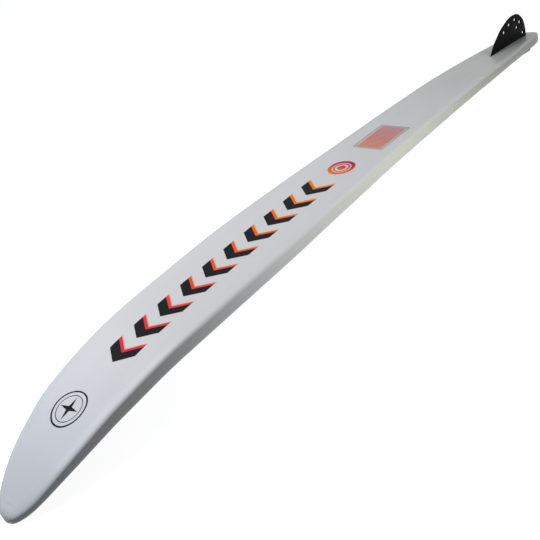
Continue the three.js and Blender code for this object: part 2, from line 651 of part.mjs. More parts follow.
function skiBody() {
  const group = new THREE.Group();
  const inFin = (geometry) => placed(geometry, finFrame);
  const seatHoles = ({ frame, places, hole }) =>
    places.map(([x, y]) => placed(hole.clone().translate(x, y, 0), frame));
  const blank = coreBlank();

  const base = bottomSkin().subtract(inFin(finSlot));
  group.add(mesh('bottom_skin', geometryOf(base), 'baseGelcoat'));
  const deck = cutAll(deckSkin(), [inFin(finSlot), ...blockInsertHoles.map(inFin),
    ...seats.flatMap(seatHoles)]);
  group.add(mesh('deck_skin', geometryOf(deck), 'deckGelcoat'));
  const core = cutAll(blank, [inFin(slotBlockPocket),
    ...seats.map(({ frame, pocket }) => placed(pocket, frame))]);
  group.add(mesh('foam_core', geometryOf(core), 'foam'));
  const slotBlock = cutAll(blank.intersect(inFin(slotBlockBox)),
    [inFin(finSlot), ...blockInsertHoles.map(inFin)]);
  group.add(mesh('fin_slot_block', geometryOf(slotBlock), 'glassPlate'));

  seats.forEach((seat) => {
    const plate = cutAll(blank.intersect(placed(seat.plate, seat.frame)), seatHoles(seat));
    group.add(mesh(`${seat.name}_insert_plate`, geometryOf(plate), 'glassPlate'));
    const inserts = new THREE.Group();
    seat.places.forEach(([x, y], i) => {
      const threaded = mesh(`${seat.name}_insert_${i + 1}`,
        insert(insertDiameter, insertLength, insertBore, insertLength - insertFloor), 'brass');
      threaded.position.set(x, y, 0);
      inserts.add(threaded);
    });
    inserts.applyMatrix4(seat.frame);
    group.add(inserts);
  });
  return group;
}

// The ski leans on the deck's edge at the tip and on the rear end of the fin block
const ski = new THREE.Group();
ski.add(skiBody(), finUnit());
const tipEdge = ring((size) => railLean * size, deckEdgeHeight)[0];
const blockFoot = new THREE.Vector3(tailBevelLength - blockLength / 2, 0, -blockHeight)
  .applyMatrix4(finFrame);
ski.rotation.y = -Math.atan2(blockFoot.z - tipEdge.z, tipEdge.x - blockFoot.x);
const extent = new THREE.Box3().setFromObject(ski, true);
const middle = extent.getCenter(new THREE.Vector3());
ski.position.set(-middle.x, 0, -extent.min.z);

export default ski;
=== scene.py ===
import json
import math

import bmesh
import bpy
from mathutils import Matrix, Vector

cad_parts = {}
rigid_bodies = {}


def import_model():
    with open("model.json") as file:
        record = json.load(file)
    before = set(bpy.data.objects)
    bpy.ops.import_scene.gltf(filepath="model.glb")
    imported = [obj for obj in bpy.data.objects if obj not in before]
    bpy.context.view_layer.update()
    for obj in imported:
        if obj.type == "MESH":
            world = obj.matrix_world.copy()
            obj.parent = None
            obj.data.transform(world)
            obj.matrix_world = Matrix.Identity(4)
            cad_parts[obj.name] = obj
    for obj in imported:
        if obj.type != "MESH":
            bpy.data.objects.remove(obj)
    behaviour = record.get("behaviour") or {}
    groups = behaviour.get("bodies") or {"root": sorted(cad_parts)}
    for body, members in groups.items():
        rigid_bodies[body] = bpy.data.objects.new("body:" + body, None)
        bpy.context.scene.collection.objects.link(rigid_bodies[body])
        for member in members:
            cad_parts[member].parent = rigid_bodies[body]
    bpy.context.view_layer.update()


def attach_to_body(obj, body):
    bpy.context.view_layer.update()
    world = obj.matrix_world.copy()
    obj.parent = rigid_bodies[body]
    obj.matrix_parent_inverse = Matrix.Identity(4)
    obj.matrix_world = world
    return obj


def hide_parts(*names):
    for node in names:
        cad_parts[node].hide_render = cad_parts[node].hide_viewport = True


print("Loading the packed ski")
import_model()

# Camera, at the photograph's angle over the tip

camera = {"place": (1.25388, 1.20118, 0.98985), "turn": (57.6369, 14.9031, 129.4388),
          "lens": 67.12, "sensor": 36}


def setCamera():
    eye = bpy.data.objects.new("studioCamera", bpy.data.cameras.new("studioCamera"))
    bpy.context.scene.collection.objects.link(eye)
    eye.location = camera["place"]
    eye.rotation_euler = [math.radians(angle) for angle in camera["turn"]]
    eye.data.lens, eye.data.sensor_width = camera["lens"], camera["sensor"]
    bpy.context.scene.camera = eye


setCamera()

# Small helpers for node trees and meshes, in metres

mm = 0.001
weldGap, sheetWeldGap, meshWeldGap = 0.000002, 0.000001, 0.00001   # points nearer than this are one
indexNudge = 0.1   # keeps a reckoned index from falling to the one before


def addNode(tree, kind, inputs=None, **settings):
    node = tree.nodes.new(kind)
    for key, value in settings.items():
        setattr(node, key, value)
    for key, value in (inputs or {}).items():
        if isinstance(value, bpy.types.NodeSocket):
            tree.links.new(value, node.inputs[key])
        else:
            node.inputs[key].default_value = value
    return node


def geo(tree, kind, inputs=None, **settings):   # the first output of a geometry node
    return addNode(tree, "GeometryNode" + kind, inputs, **settings).outputs[0]


def shade(tree, kind, inputs=None, **settings):   # the first output of a shader or maths node
    return addNode(tree, "ShaderNode" + kind, inputs, **settings).outputs[0]


def calc(tree, operation, *values, clamp=False):
    return shade(tree, "Math", dict(enumerate(values)), operation=operation, use_clamp=clamp)


def sumOf(operation):
    def result(tree, *values, clamp=False):
        return calc(tree, operation, *values, clamp=clamp)
    return result


plus, minus, times, ratio, timesPlus = (
    sumOf(operation) for operation in ("ADD", "SUBTRACT", "MULTIPLY", "DIVIDE", "MULTIPLY_ADD"))


def vector(tree, x=0.0, y=0.0, z=0.0):
    return shade(tree, "CombineXYZ", {0: x, 1: y, 2: z})


def split(tree, value):
    return addNode(tree, "ShaderNodeSeparateXYZ", {0: value}).outputs


def connect(tree, sockets, values):
    for label, value in values.items():
        tree.links.new(value, sockets[label])
    return tree


def newTree(kind, name, inputs, outputs):
    tree = bpy.data.node_groups.new(name, kind)
    for label, socket, *value in inputs:
        made = tree.interface.new_socket(label, in_out="INPUT", socket_type="NodeSocket" + socket)
        if value:
            made.default_value = value[0]
    for label, socket in outputs:
        tree.interface.new_socket(label, in_out="OUTPUT", socket_type="NodeSocket" + socket)
    source, result = tree.nodes.new("NodeGroupInput"), tree.nodes.new("NodeGroupOutput")
    return tree, source.outputs, result.inputs


def shapeTree(name, inputs):
    return newTree("GeometryNodeTree", name, [("Geometry", "Geometry"), *inputs], [("Geometry", "Geometry")])


def endTree(tree, result, part, material=None):   # gives the part its material, where the tree has one
    if material is not None:
        part = geo(tree, "SetMaterial", {"Geometry": part, "Material": material})
    tree.links.new(part, result[0])
    return tree


def useGroup(tree, group, inputs):
    kind = "ShaderNodeGroup" if tree.bl_idname == "ShaderNodeTree" else "GeometryNodeGroup"
    return addNode(tree, kind, inputs, node_tree=group).outputs


def join(tree, *parts):
    node = addNode(tree, "GeometryNodeJoinGeometry")
    for part in parts:
        tree.links.new(part, node.inputs[0])
    return node.outputs[0]


def cut(tree, body, *cutters):
    node = addNode(tree, "GeometryNodeMeshBoolean", {"Mesh 1": body}, operation="DIFFERENCE", solver="EXACT")
    for cutter in cutters:
        tree.links.new(cutter, node.inputs["Mesh 2"])
    return node.outputs["Mesh"]


def shifted(tree, part, place=None, turn=None):
    values = {key: value for key, value in (("Translation", place), ("Rotation", turn)) if value is not None}
    return geo(tree, "Transform", {"Geometry": part, **values})


def merged(tree, part, gap):
    return geo(tree, "MergeByDistance", {"Geometry": part, "Distance": gap})


def onPoints(tree, points, piece, **more):
    return geo(tree, "InstanceOnPoints", {"Points": points, "Instance": piece, **more})


def realized(tree, part):
    return geo(tree, "RealizeInstances", {"Geometry": part})


def gridPlace(tree, wide):   # row and column of each point of a grid, wide points to a row
    index = geo(tree, "InputIndex")
    row = calc(tree, "FLOOR", ratio(tree, plus(tree, index, 0.5), wide))
    return row, minus(tree, index, times(tree, row, wide))


def sampled(tree, source, name, at, kind="FLOAT"):   # the position or an attribute of one point
    if name == "position":
        value = geo(tree, "InputPosition")
    else:
        value = geo(tree, "InputNamedAttribute", {"Name": name}, data_type=kind)
    return geo(tree, "SampleIndex", {"Geometry": source, "Value": value, "Index": at}, data_type=kind)


def newShape(name, mesh=None):
    shape = bpy.data.objects.new(name, mesh or bpy.data.meshes.new(name))
    bpy.context.scene.collection.objects.link(shape)
    return shape


def addRule(shape, tree, values):
    rule = shape.modifiers.new(tree.name, "NODES")
    rule.node_group = tree
    sockets = {item.name: item.identifier for item in tree.interface.items_tree if item.in_out == "INPUT"}
    for label, value in values.items():
        rule[sockets[label]] = value


def settle(shape, place=None, sharpAngle=32):   # turns the evaluated shape into its own plain mesh
    shape.update_tag()
    bpy.context.view_layer.update()
    graph = bpy.context.evaluated_depsgraph_get()
    mesh = bpy.data.meshes.new_from_object(shape.evaluated_get(graph), depsgraph=graph)
    shape.modifiers.clear()
    mesh.name = shape.name
    if place:
        mesh.transform(place)
    shape.data = mesh
    mesh.shade_smooth()
    mesh.set_sharp_from_angle(angle=math.radians(sharpAngle))


def remade(mesh, finish, mend):   # merges doubles, mends the mesh and gives it one finish
    body = bmesh.new()
    body.from_mesh(mesh)
    bmesh.ops.remove_doubles(body, verts=body.verts, dist=meshWeldGap)
    mend(body)
    body.to_mesh(mesh)
    body.free()
    mesh.materials.clear()
    mesh.materials.append(finishes[finish])


def attach(shape, body, slot, *nodes):
    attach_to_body(shape, body)
    if nodes:
        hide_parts(*nodes)


# Lines of the ski, in metres from the tip. The shares give part of a length and part of a size.

skiLength = 1.702
ski = {
    "length": skiLength, "width": 0.18998, "endChord": 0.016, "tipRocker": 0.132, "tailRocker": 0.033,
    "thickness": 0.0304, "tunnelDepth": 0.002, "bevelWidth": 0.0095, "bevelDepth": 0.0057,
    "railLean": 0.0014, "deckBevelWidth": 0.012, "deckBevelHeight": 0.003, "rimHeight": 0.006,
    "wall": 0.0008, "fitGap": 0.0003, "tipRounding": 0.004, "bluntShare": 0.01,
    "tilt": -0.04930366, "place": (0.84573143, 0, 0.14366624),
    "flatShare": 0.588, "frontSeat": 0.479 * skiLength, "rearSeat": 0.655 * skiLength, "finSeat": 1.578,
    "seatReaches": (0.1089, 0.0835, 0.096),
    "halfWidthShares": [(0, 0), (0.0070, 0.279), (0.0176, 0.430), (0.0353, 0.577), (0.0646, 0.727),
        (0.1058, 0.858), (0.1645, 0.941), (0.2468, 0.993), (0.3525, 1), (0.4700, 0.920), (0.5876, 0.817),
        (0.6933, 0.748), (0.7873, 0.683), (0.8696, 0.584), (0.9283, 0.480), (0.9694, 0.385),
        (0.9880, 0.230), (1, 0)],
    "tipRiseShares": [(0, 1), (0.100, 0.589), (0.200, 0.320), (0.350, 0.133), (0.500, 0.068),
        (0.700, 0.018), (0.900, 0.001), (1, 0)],
    "tailRiseShares": [(0, 0), (0.10, 0.001), (0.43, 0.088), (0.64, 0.281), (0.857, 0.580), (0.965, 0.817),
        (1, 1)],
    "thicknessShares": [(0, 0.46), (0.029, 0.57), (0.06, 0.737), (0.10, 0.875), (0.15, 0.954), (0.22, 0.997),
        (0.25, 1), (0.355, 0.967), (0.43, 0.92), (0.53, 0.866), (0.645, 0.798), (0.745, 0.732), (0.85, 0.668),
        (0.94, 0.58), (0.985, 0.525), (1, 0.387)],
    "edgeSizeShares": [(0, 0.6), (0.09, 1), (0.85, 1), (1, 0.6)],
    "rollShares": [(0, 2.8), (0.03, 2.4), (0.06, 2.0), (0.12, 1.5), (0.22, 1.15), (0.35, 1), (0.6, 1.2),
        (0.75, 1.8), (0.93, 1.9), (0.985, 1), (1, 1)],   # the base's edge is rounder towards both ends
    "tunnelShares": [(0, 0), (0.05, 0.2), (0.25, 1), (0.78, 1), (0.90, 0.2), (1, 0.1)],
    "stationCount": 150,
    # How far each way the slope and the outline's turn are read, and how far in the zone at the tip
    "slopeReach": 0.0005, "turnReach": 0.0017, "tipTurnReach": 0.00025, "tipZone": 0.01,
}


def curveThrough(points):   # smooth, and never beyond its points
    last = len(points) - 1
    steps = [(b[1] - a[1]) / (b[0] - a[0]) for a, b in zip(points, points[1:])]
    slopes = [steps[0]]
    for before, after in zip(steps, steps[1:]):
        slopes.append(0 if before * after <= 0 else 2 * before * after / (before + after))
    slopes.append(steps[-1])

    def height(x):
        i = 0
        while i < last - 1 and x > points[i + 1][0]:
            i += 1
        (x0, y0), (x1, y1) = points[i], points[i + 1]
        t = min(1, max(0, (x - x0) / (x1 - x0)))
        bend = (slopes[i] * (1 - t) - slopes[i + 1] * t) * (x1 - x0) * t * (1 - t)
        return y0 + (y1 - y0) * t * t * (3 - 2 * t) + bend
    return height


endShare = ski["endChord"] / ski["width"]
widthCurve = curveThrough([(at, max(share, endShare) ** 2) for at, share in ski["halfWidthShares"]])
tipCurve, tailCurve, thicknessCurve, edgeCurve, tunnelCurve, rollCurve = (
    curveThrough(ski[name + "Shares"])
    for name in ("tipRise", "tailRise", "thickness", "edgeSize", "tunnel", "roll"))
flatZones = [(ski[seat] - reach, ski[seat] + reach) for seat, reach in
             zip(("frontSeat", "rearSeat", "finSeat"), ski["seatReaches"])]


def baseHeight(s):
    flat = ski["flatShare"] * ski["length"]
    if s < flat:
        return -ski["tipRocker"] * tipCurve(s / flat)
    return -ski["tailRocker"] * tailCurve((s - flat) / (ski["length"] - flat))


def deckHeight(s):
    def natural(at):
        return baseHeight(at) - ski["thickness"] * thicknessCurve(at / ski["length"])
    for start, end in flatZones:   # dead flat under each binding and under the fin block
        if start < s < end:
            return natural(start) + (natural(end) - natural(start)) * (s - start) / (end - start)
    return natural(s)


def halfWidth(s):
    half = math.sqrt(max(0, widthCurve(s / ski["length"]))) * ski["width"] / 2
    for end in (s, ski["length"] - s):   # both ends are rounded off
        if end < ski["tipRounding"]:
            half *= math.sqrt(max(ski["bluntShare"], 1 - (1 - end / ski["tipRounding"]) ** 2))
    return half


def outlineLoop(name, surfaceAt, isDeck):   # points round the ski, each with the heights of its station
    length, count = ski["length"], ski["stationCount"]
    places = [length * (0.5 - 0.5 * math.cos(math.pi * i / (count - 1))) for i in range(count)]
    places = sorted(places + [end for zone in flatZones for end in zone])
    rows = []
    for s in places:
        size = edgeCurve(s / length)
        near = ski["tipTurnReach"] if s < ski["tipZone"] else ski["turnReach"]
        s0, s1 = max(0, s - near), min(length, s + near)
        inward = Vector((halfWidth(s1) ** 2 - halfWidth(s0) ** 2, -2 * halfWidth(s) * (s1 - s0))).normalized()
        top = baseHeight(s) - ski["bevelDepth"] * size
        foot = deckHeight(s) + ski["deckBevelHeight"] * size
        seam = foot + ski["rimHeight"] * size
        before, after = max(0, s - ski["slopeReach"]), min(length, s + ski["slopeReach"])
        atEnd = s in (places[0], places[-1])
        rows.append({
            "s": s, "half": halfWidth(s), "inward": inward, "edge": size, "surface": surfaceAt(s),
            "roll": 1 if isDeck else rollCurve(s / length),
            "slope": (surfaceAt(before) - surfaceAt(after)) / (after - before),
            "lip": seam + (-1 if isDeck else 1) * ski["fitGap"] / 2,
            "lipOffset": ski["railLean"] * size * (top - seam) / (top - foot),
            "tunnel": 0 if atEnd or isDeck else ski["tunnelDepth"] * tunnelCurve(s / length)})
    loop = [(row, 1) for row in rows] + [(row, -1) for row in reversed(rows)]
    mesh = bpy.data.meshes.new(name)
    mesh.from_pydata([(-row["s"], side * row["half"], 0) for row, side in loop], [], [])
    for label in ("edge", "roll", "surface", "slope", "lip", "lipOffset", "tunnel"):
        values = mesh.attributes.new(label, "FLOAT", "POINT")
        values.data.foreach_set("value", [row[label] for row, side in loop])
    values = mesh.attributes.new("inward", "FLOAT_VECTOR", "POINT")
    values.data.foreach_set("vector", [
        part for row, side in loop for part in (-row["inward"].x, side * row["inward"].y, 0)])
    return newShape(name, mesh)


def shellRule():
    tree, given, result = shapeTree("shellRule", [
        ("Edge Rows", "Int", 10), ("Rail Rows", "Int", 4), ("Columns", "Int", 17),
        ("Edge Offset", "Float", 0.0), ("Edge Span", "Float", 0.0095), ("Edge Depth", "Float", 0.0057),
        ("Roundness", "Float", 1.0), ("Flip", "Bool", False), ("Tilt", "Vector"), ("Place", "Vector"),
        ("Material", "Material")])
    loop = given["Geometry"]
    around = geo(tree, "AttributeDomainSize", {"Geometry": loop})

    def sample(name, at):
        return sampled(tree, loop, name, at)

    def outlineAt(at):   # the outline's point and the way inwards from it
        return (split(tree, sampled(tree, loop, name, at, "FLOAT_VECTOR")) for name in ("position", "inward"))

    def moved(grid, x, y, z):
        return geo(tree, "SetPosition", {"Geometry": grid, "Position": vector(tree, x, y, z)})

    def rounded(plain, bent):
        return timesPlus(tree, minus(tree, bent, plain), given["Roundness"], plain)

    # Rounded edge and rail: rows run outwards from the flat surface to the lip
    wide = plus(tree, around, 1.0)
    rows = plus(tree, plus(tree, given["Edge Rows"], given["Rail Rows"]), 1.0)
    wall = geo(tree, "MeshGrid", {"Vertices X": rows, "Vertices Y": wide})
    row, column = gridPlace(tree, wide)
    at = plus(tree, calc(tree, "FLOORED_MODULO", column, around), indexNudge)
    edgeT = ratio(tree, row, given["Edge Rows"], clamp=True)
    railT = ratio(tree, minus(tree, row, given["Edge Rows"]), given["Rail Rows"], clamp=True)
    angle = times(tree, edgeT, math.pi / 2)
    straight = minus(tree, 1.0, edgeT)
    arc = minus(tree, 1.0, calc(tree, "SINE", angle))
    drop = minus(tree, 1.0, calc(tree, "COSINE", angle))
    edge, surface = sample("edge", at), sample("surface", at)
    base = times(tree, edge, given["Edge Offset"])
    span = times(tree, times(tree, edge, sample("roll", at)), given["Edge Span"])
    offset = timesPlus(tree, span, rounded(straight, arc), base)
    offset = timesPlus(tree, minus(tree, sample("lipOffset", at), base), railT, offset)
    depth = times(tree, edge, given["Edge Depth"])
    height = minus(tree, surface, times(tree, depth, rounded(edgeT, drop)))
    railFall = minus(tree, sample("lip", at), minus(tree, surface, depth))
    height = timesPlus(tree, railFall, railT, height)
    point, inward = outlineAt(at)
    shift = times(tree, offset, inward[0])
    wall = moved(wall, plus(tree, point[0], shift),
                 timesPlus(tree, offset, inward[1], point[1]),
                 timesPlus(tree, shift, sample("slope", at), height))
    wall = geo(tree, "StoreNamedAttribute", {"Geometry": wall, "Name": "rim",
               "Value": plus(tree, edgeT, railT)}, data_type="FLOAT", domain="POINT")

    # The flat surface, where rim stays 0: a row across the ski at each station, hollowed by the tunnel
    columns = given["Columns"]
    stations = times(tree, around, 0.5)
    flat = geo(tree, "MeshGrid", {"Vertices X": stations, "Vertices Y": columns})
    row, column = gridPlace(tree, columns)
    across = ratio(tree, column, minus(tree, columns, 1.0))
    across = timesPlus(tree, across, -2.0, 1.0)
    at = plus(tree, row, indexNudge)
    span = times(tree, sample("roll", at), given["Edge Span"])
    offset = times(tree, sample("edge", at), plus(tree, given["Edge Offset"], span))
    point, inward = outlineAt(at)
    shift = times(tree, offset, inward[0])
    half = timesPlus(tree, offset, inward[1], point[1])
    bowl = minus(tree, 1.0, times(tree, across, across))
    height = timesPlus(tree, shift, sample("slope", at), sample("surface", at))
    height = minus(tree, height, times(tree, sample("tunnel", at), bowl))
    flat = moved(flat, plus(tree, point[0], shift), times(tree, half, across), height)

    whole = merged(tree, join(tree, wall, flat), weldGap)
    whole = geo(tree, "FlipFaces", {"Mesh": whole, "Selection": given["Flip"]})
    return endTree(tree, result, shifted(tree, whole, given["Place"], given["Tilt"]), given["Material"])


# Where the fittings sit, in metres and degrees, with the pattern of their inserts

seats = {
    "front": {
        "place": (0.0328619, 0, 0.0751601), "slope": 1.68209,
        "spots": {"Groups": 2, "Group Spacing": 0.1524, "Rows": 2, "Row Spacing": 0.102, "Per Group": 2}},
    "rear": {
        "place": (-0.2665122, 0, 0.0641686), "slope": 2.54303,
        "spots": {"Groups": 2, "Group Spacing": 0.1016, "Rows": 2, "Row Spacing": 0.089, "Per Group": 2}},
    "fin": {
        "place": (-0.7285437, 0, 0.0292693), "slope": 6.31113,
        "spots": {"Groups": 3, "Group Spacing": 0.076, "Rows": 2, "Row Spacing": 0.030, "Per Group": 1}},
}
oneSpot = {"Groups": 1, "Group Spacing": 0.0, "Rows": 1, "Row Spacing": 0.0, "Per Group": 1}
spotInputs = [("Groups", "Int", 1), ("Group Spacing", "Float", 0.0), ("Rows", "Int", 1),
              ("Row Spacing", "Float", 0.0), ("Per Group", "Int", 1), ("Pitch", "Float", 0.0254)]


def onSeat(tree, seat, part):
    return shifted(tree, part, seats[seat]["place"], (0, -math.radians(seats[seat]["slope"]), 0))


def seatMatrix(seat, x=0, y=0, z=0, turn=0, axis="X"):   # a place on a seat, in mm, turned in degrees
    slope = Matrix.Rotation(-math.radians(seats[seat]["slope"]), 4, "Y")
    spot = Matrix.Translation((x * mm, y * mm, z * mm)) @ Matrix.Rotation(math.radians(turn), 4, axis)
    return Matrix.Translation(seats[seat]["place"]) @ slope @ spot


def spotPattern():   # rows of inserts, in groups that step by the pitch
    tree, given, result = shapeTree("spotPattern", spotInputs)
    length = times(tree, given["Group Spacing"], minus(tree, given["Groups"], 1.0))
    groups = geo(tree, "MeshGrid", {"Size X": length, "Size Y": given["Row Spacing"],
                                    "Vertices X": given["Groups"], "Vertices Y": given["Rows"]})
    low = times(tree, given["Pitch"], timesPlus(tree, given["Per Group"], -0.5, 0.5))
    step = geo(tree, "MeshLine", {"Count": given["Per Group"], "Start Location": vector(tree, low),
                                  "Offset": vector(tree, given["Pitch"])})
    return endTree(tree, result, realized(tree, onPoints(tree, groups, step)))


def thickSheet():   # gives a flat sheet its depth, downwards
    tree, given, result = shapeTree("thickSheet", [("Depth", "Float", 0.001)])
    down = vector(tree, z=times(tree, given["Depth"], -1.0))
    under = geo(tree, "SetPosition", {"Geometry": given["Geometry"], "Offset": down})
    raised = geo(tree, "ExtrudeMesh", {"Mesh": under, "Offset": vector(tree, z=1.0),
                                       "Offset Scale": given["Depth"], "Individual": False})
    closed = join(tree, raised, geo(tree, "FlipFaces", {"Mesh": under}))
    return endTree(tree, result, merged(tree, closed, sheetWeldGap))


def roundedBlock():   # a plate with rounded corners, its top at a given height
    tree, given, result = shapeTree("roundedBlock", [
        ("Length", "Float", 0.1), ("Width", "Float", 0.04), ("Corner", "Float", 0.004),
        ("Corner Steps", "Int", 8), ("Depth", "Float", 0.01), ("Top", "Float", 0.0)])
    outline = geo(tree, "CurvePrimitiveQuadrilateral", {"Width": given["Length"], "Height": given["Width"]})
    outline = geo(tree, "FilletCurve", {"Curve": outline, "Count": given["Corner Steps"],
                                        "Radius": given["Corner"]}, mode="POLY")
    sheet = geo(tree, "FillCurve", {"Curve": outline}, mode="NGONS")
    thick = useGroup(tree, sheetTree, {"Geometry": sheet, "Depth": given["Depth"]})[0]
    return endTree(tree, result, shifted(tree, thick, vector(tree, z=given["Top"])))


spotTree, sheetTree = spotPattern(), thickSheet()
blockTree = roundedBlock()

# Openings in the skins: the fin's slot, and holes for the inserts

openings = {"Slot Length": 0.1782, "Slot Width": 0.0040, "Slot Round": 0.0019, "Cut Depth": 0.08,
            "Hole Radius": 0.0058, "Small Hole Radius": 0.0038, "Drill Depth": 0.006}
drillSides = 32


def openingsRule():
    tree, given, result = shapeTree("openingsRule", [
        *((label, "Float", value) for label, value in openings.items()), ("With Holes", "Bool", False)])
    slot = useGroup(tree, blockTree, {
        "Length": given["Slot Length"], "Width": given["Slot Width"], "Corner": given["Slot Round"],
        "Depth": given["Cut Depth"], "Top": times(tree, given["Cut Depth"], 0.5)})[0]
    drilled = []
    for seat, radius in (("front", "Hole Radius"), ("rear", "Hole Radius"), ("fin", "Small Hole Radius")):
        points = useGroup(tree, spotTree, seats[seat]["spots"])[0]
        drill = geo(tree, "MeshCylinder", {"Vertices": drillSides, "Radius": given[radius],
                                           "Depth": given["Drill Depth"]})
        drilled.append(realized(tree, onSeat(tree, seat, onPoints(tree, points, drill))))
    holes = geo(tree, "Switch", {"Switch": given["With Holes"], "True": join(tree, *drilled)},
                input_type="GEOMETRY")
    return endTree(tree, result, cut(tree, given["Geometry"], onSeat(tree, "fin", slot), holes))


# Shader groups that several finishes share


def shaderTree(name, inputs, outputs):
    return newTree("ShaderNodeTree", name, inputs, [(label, "Float") for label in outputs])


def noise(tree, spot, scale, detail=3.0, roughness=0.5):
    return shade(tree, "TexNoise", {"Vector": spot, "Scale": scale, "Detail": detail, "Roughness": roughness})


def ramp(tree, value, low, high):   # 0 at low, 1 at high, with soft ends
    return shade(tree, "MapRange", {0: value, 1: low, 2: high}, interpolation_type="SMOOTHSTEP")


def blend(tree, share, first, second):
    return addNode(tree, "ShaderNodeMix", {0: share, 6: first, 7: second}, data_type="RGBA").outputs[2]


def tinged(tree, colour, tint, share, amount):
    return blend(tree, times(tree, share, amount), colour, tint)


def stretched(tree, spot, by):
    return shade(tree, "VectorMath", {0: spot, 1: by}, operation="MULTIPLY")


def skiPlaceGroup():   # distance from the tip and across, from Object coordinates
    tree, given, result = shaderTree("skiPlace", [("Vector", "Vector")], ["Along", "Across"])
    x, y, z = split(tree, given["Vector"])
    x, z = minus(tree, x, ski["place"][0]), minus(tree, z, ski["place"][2])
    fore = times(tree, x, math.cos(ski["tilt"]))
    along = minus(tree, times(tree, z, math.sin(ski["tilt"])), fore)
    return connect(tree, result, {"Along": along, "Across": y})


grain = {"broad": 0.03, "fineSpan": (0.45, 0.7), "broadSpan": (0.35, 0.7)}


def grainGroup():   # fine lines that a tool or a cloth leaves, and the dirt between them
    tree, given, result = shaderTree("fineGrain", [
        ("Vector", "Vector"), ("Scale", "Float", 900.0), ("Stretch", "Vector", (0.05, 1, 1))],
        ["Height", "Mask"])
    fine = noise(tree, stretched(tree, given["Vector"], given["Stretch"]), given["Scale"])
    broad = noise(tree, given["Vector"], times(tree, given["Scale"], grain["broad"]), 2.0)
    mask = times(tree, ramp(tree, fine, *grain["fineSpan"]), ramp(tree, broad, *grain["broadSpan"]))
    return connect(tree, result, {"Height": fine, "Mask": mask})


# Wear of the ski: each noise has its scale, detail and roughness

rideWear = {
    "amount": 0.6, "scratch": (6.0, 4.0, 0.62), "scratchRun": (2.2, 60, 60), "scratchSpan": (0.62, 0.78),
    "place": (7.0, 2.0), "placeSpan": (0.48, 0.68), "smudge": (9.0, 4.0, 0.6), "smudgeRun": (0.6, 1.6, 1),
    "smudgeSpan": (0.42, 0.75), "wave": (14.0, 2.0), "scratchDepth": 0.2,
}


def wearGroup():   # long shallow scratches, and soft smudges, along the run of the ski
    tree, given, result = shaderTree("rideWear", [("Vector", "Vector"), ("Amount", "Float", 0.5)],
                                     ["Scratches", "Smudges", "Height"])
    spot, look = given["Vector"], rideWear
    scratch = noise(tree, stretched(tree, spot, look["scratchRun"]), *look["scratch"])
    place = ramp(tree, noise(tree, spot, *look["place"]), *look["placeSpan"])
    scratches = times(tree, ramp(tree, scratch, *look["scratchSpan"]), place)
    scratches = times(tree, scratches, given["Amount"])
    smudge = noise(tree, stretched(tree, spot, look["smudgeRun"]), *look["smudge"])
    smudges = times(tree, ramp(tree, smudge, *look["smudgeSpan"]), given["Amount"])
    height = minus(tree, noise(tree, spot, *look["wave"]),
                  times(tree, scratches, look["scratchDepth"]))
    return connect(tree, result, {"Scratches": scratches, "Smudges": smudges, "Height": height})


skiPlaceTree, grainTree, wearTree = skiPlaceGroup(), grainGroup(), wearGroup()


def newFinish(name, values):
    material = bpy.data.materials.new(name)
    material.use_nodes = True
    tree = material.node_tree
    shader = tree.nodes["Principled BSDF"]
    for label, value in values.items():
        shader.inputs[label].default_value = value
    return material, tree, shader.inputs, addNode(tree, "ShaderNodeTexCoord").outputs["Object"]


def skiFinish(name, values):   # a finish that knows its place on the ski, and its wear
    material, tree, shader, spot = newFinish(name, values)
    place = useGroup(tree, skiPlaceTree, {"Vector": spot})
    wear = useGroup(tree, wearTree, {"Vector": spot, "Amount": rideWear["amount"]})
    return material, tree, shader, spot, place, wear


def bumped(tree, height, strength, distance):
    return shade(tree, "Bump", {"Height": height, "Strength": strength, "Distance": distance})


def rimOf(tree):   # 0 on the flat, 1 where the rounded edge ends, 2 at the joint of the skins
    return addNode(tree, "ShaderNodeAttribute", attribute_name="rim").outputs["Fac"]


# White gelcoat of the base and the rail, with painted cool light on the tip and painted shade on the rail, at
# the tail end and by the fin. A span is in metres from the tip, a rim in rim, a mask in noise.

baseFinish = {
    "shader": {"Roughness": 0.32, "Specular IOR Level": 0.35, "Coat Weight": 0.08, "Coat Roughness": 0.12},
    # the cool tip colour is painted cool light on the tip
    "tipPaintedCoolLight": (0.66, 0.70, 0.77, 1), "white": (0.665, 0.672, 0.69, 1), "coolSpan": (0.0, 0.42),
    "warmTail": (0.665, 0.67, 0.655, 1), "warmSpan": (0.75, 1.6),
    "edgeTint": (0.58, 0.60, 0.52, 1), "edgeSpan": (0.45, 1.1), "edgeRim": (0.15, 0.8),
    # painted shade on the rail, stronger towards the tip and the tail
    "railPaintedShade": (0.10, 0.11, 0.10, 1), "railRim": (0.35, 1.0),
    "railTip": (0.62, 0.22), "railTipPaintedShade": 0.34, "railTail": (0.92, 1.5), "railTailPaintedShade": 0.55,
    # a grey for real grime on smudges, scratches and chafe, and for painted shade at the tail end and in
    # streaks by the fin
    "grimeAndShade": (0.30, 0.31, 0.31, 1), "smudges": 0.10, "scratches": 0.08,
    "tailSpan": (1.56, 1.7), "tailEndPaintedShade": 0.3,
    # the streak keys set painted shade in streaks beside the fin
    "streak": (1.0, 3.0), "streakRun": (3.0, 260, 1), "streakMask": (0.5, 0.72), "streakSpan": (1.15, 1.6),
    "streaks": 0.22, "chafe": (420.0, 5.0, 0.7), "chafeMask": (0.42, 0.62), "chafeSpan": (0.012, 0.001),
    "chafed": 0.75, "smudgeRough": 0.18, "chafeRough": 0.4, "peel": (55.0, 2.0), "peelDepth": 0.2,
    "chafeDepth": -2.0, "bump": (0.06, 0.0002),
}


def whiteWithPaintedTipLight(tree, along):   # white, with painted cool light on the tip
    return blend(tree, ramp(tree, along, *baseFinish["coolSpan"]), baseFinish["tipPaintedCoolLight"], baseFinish["white"])


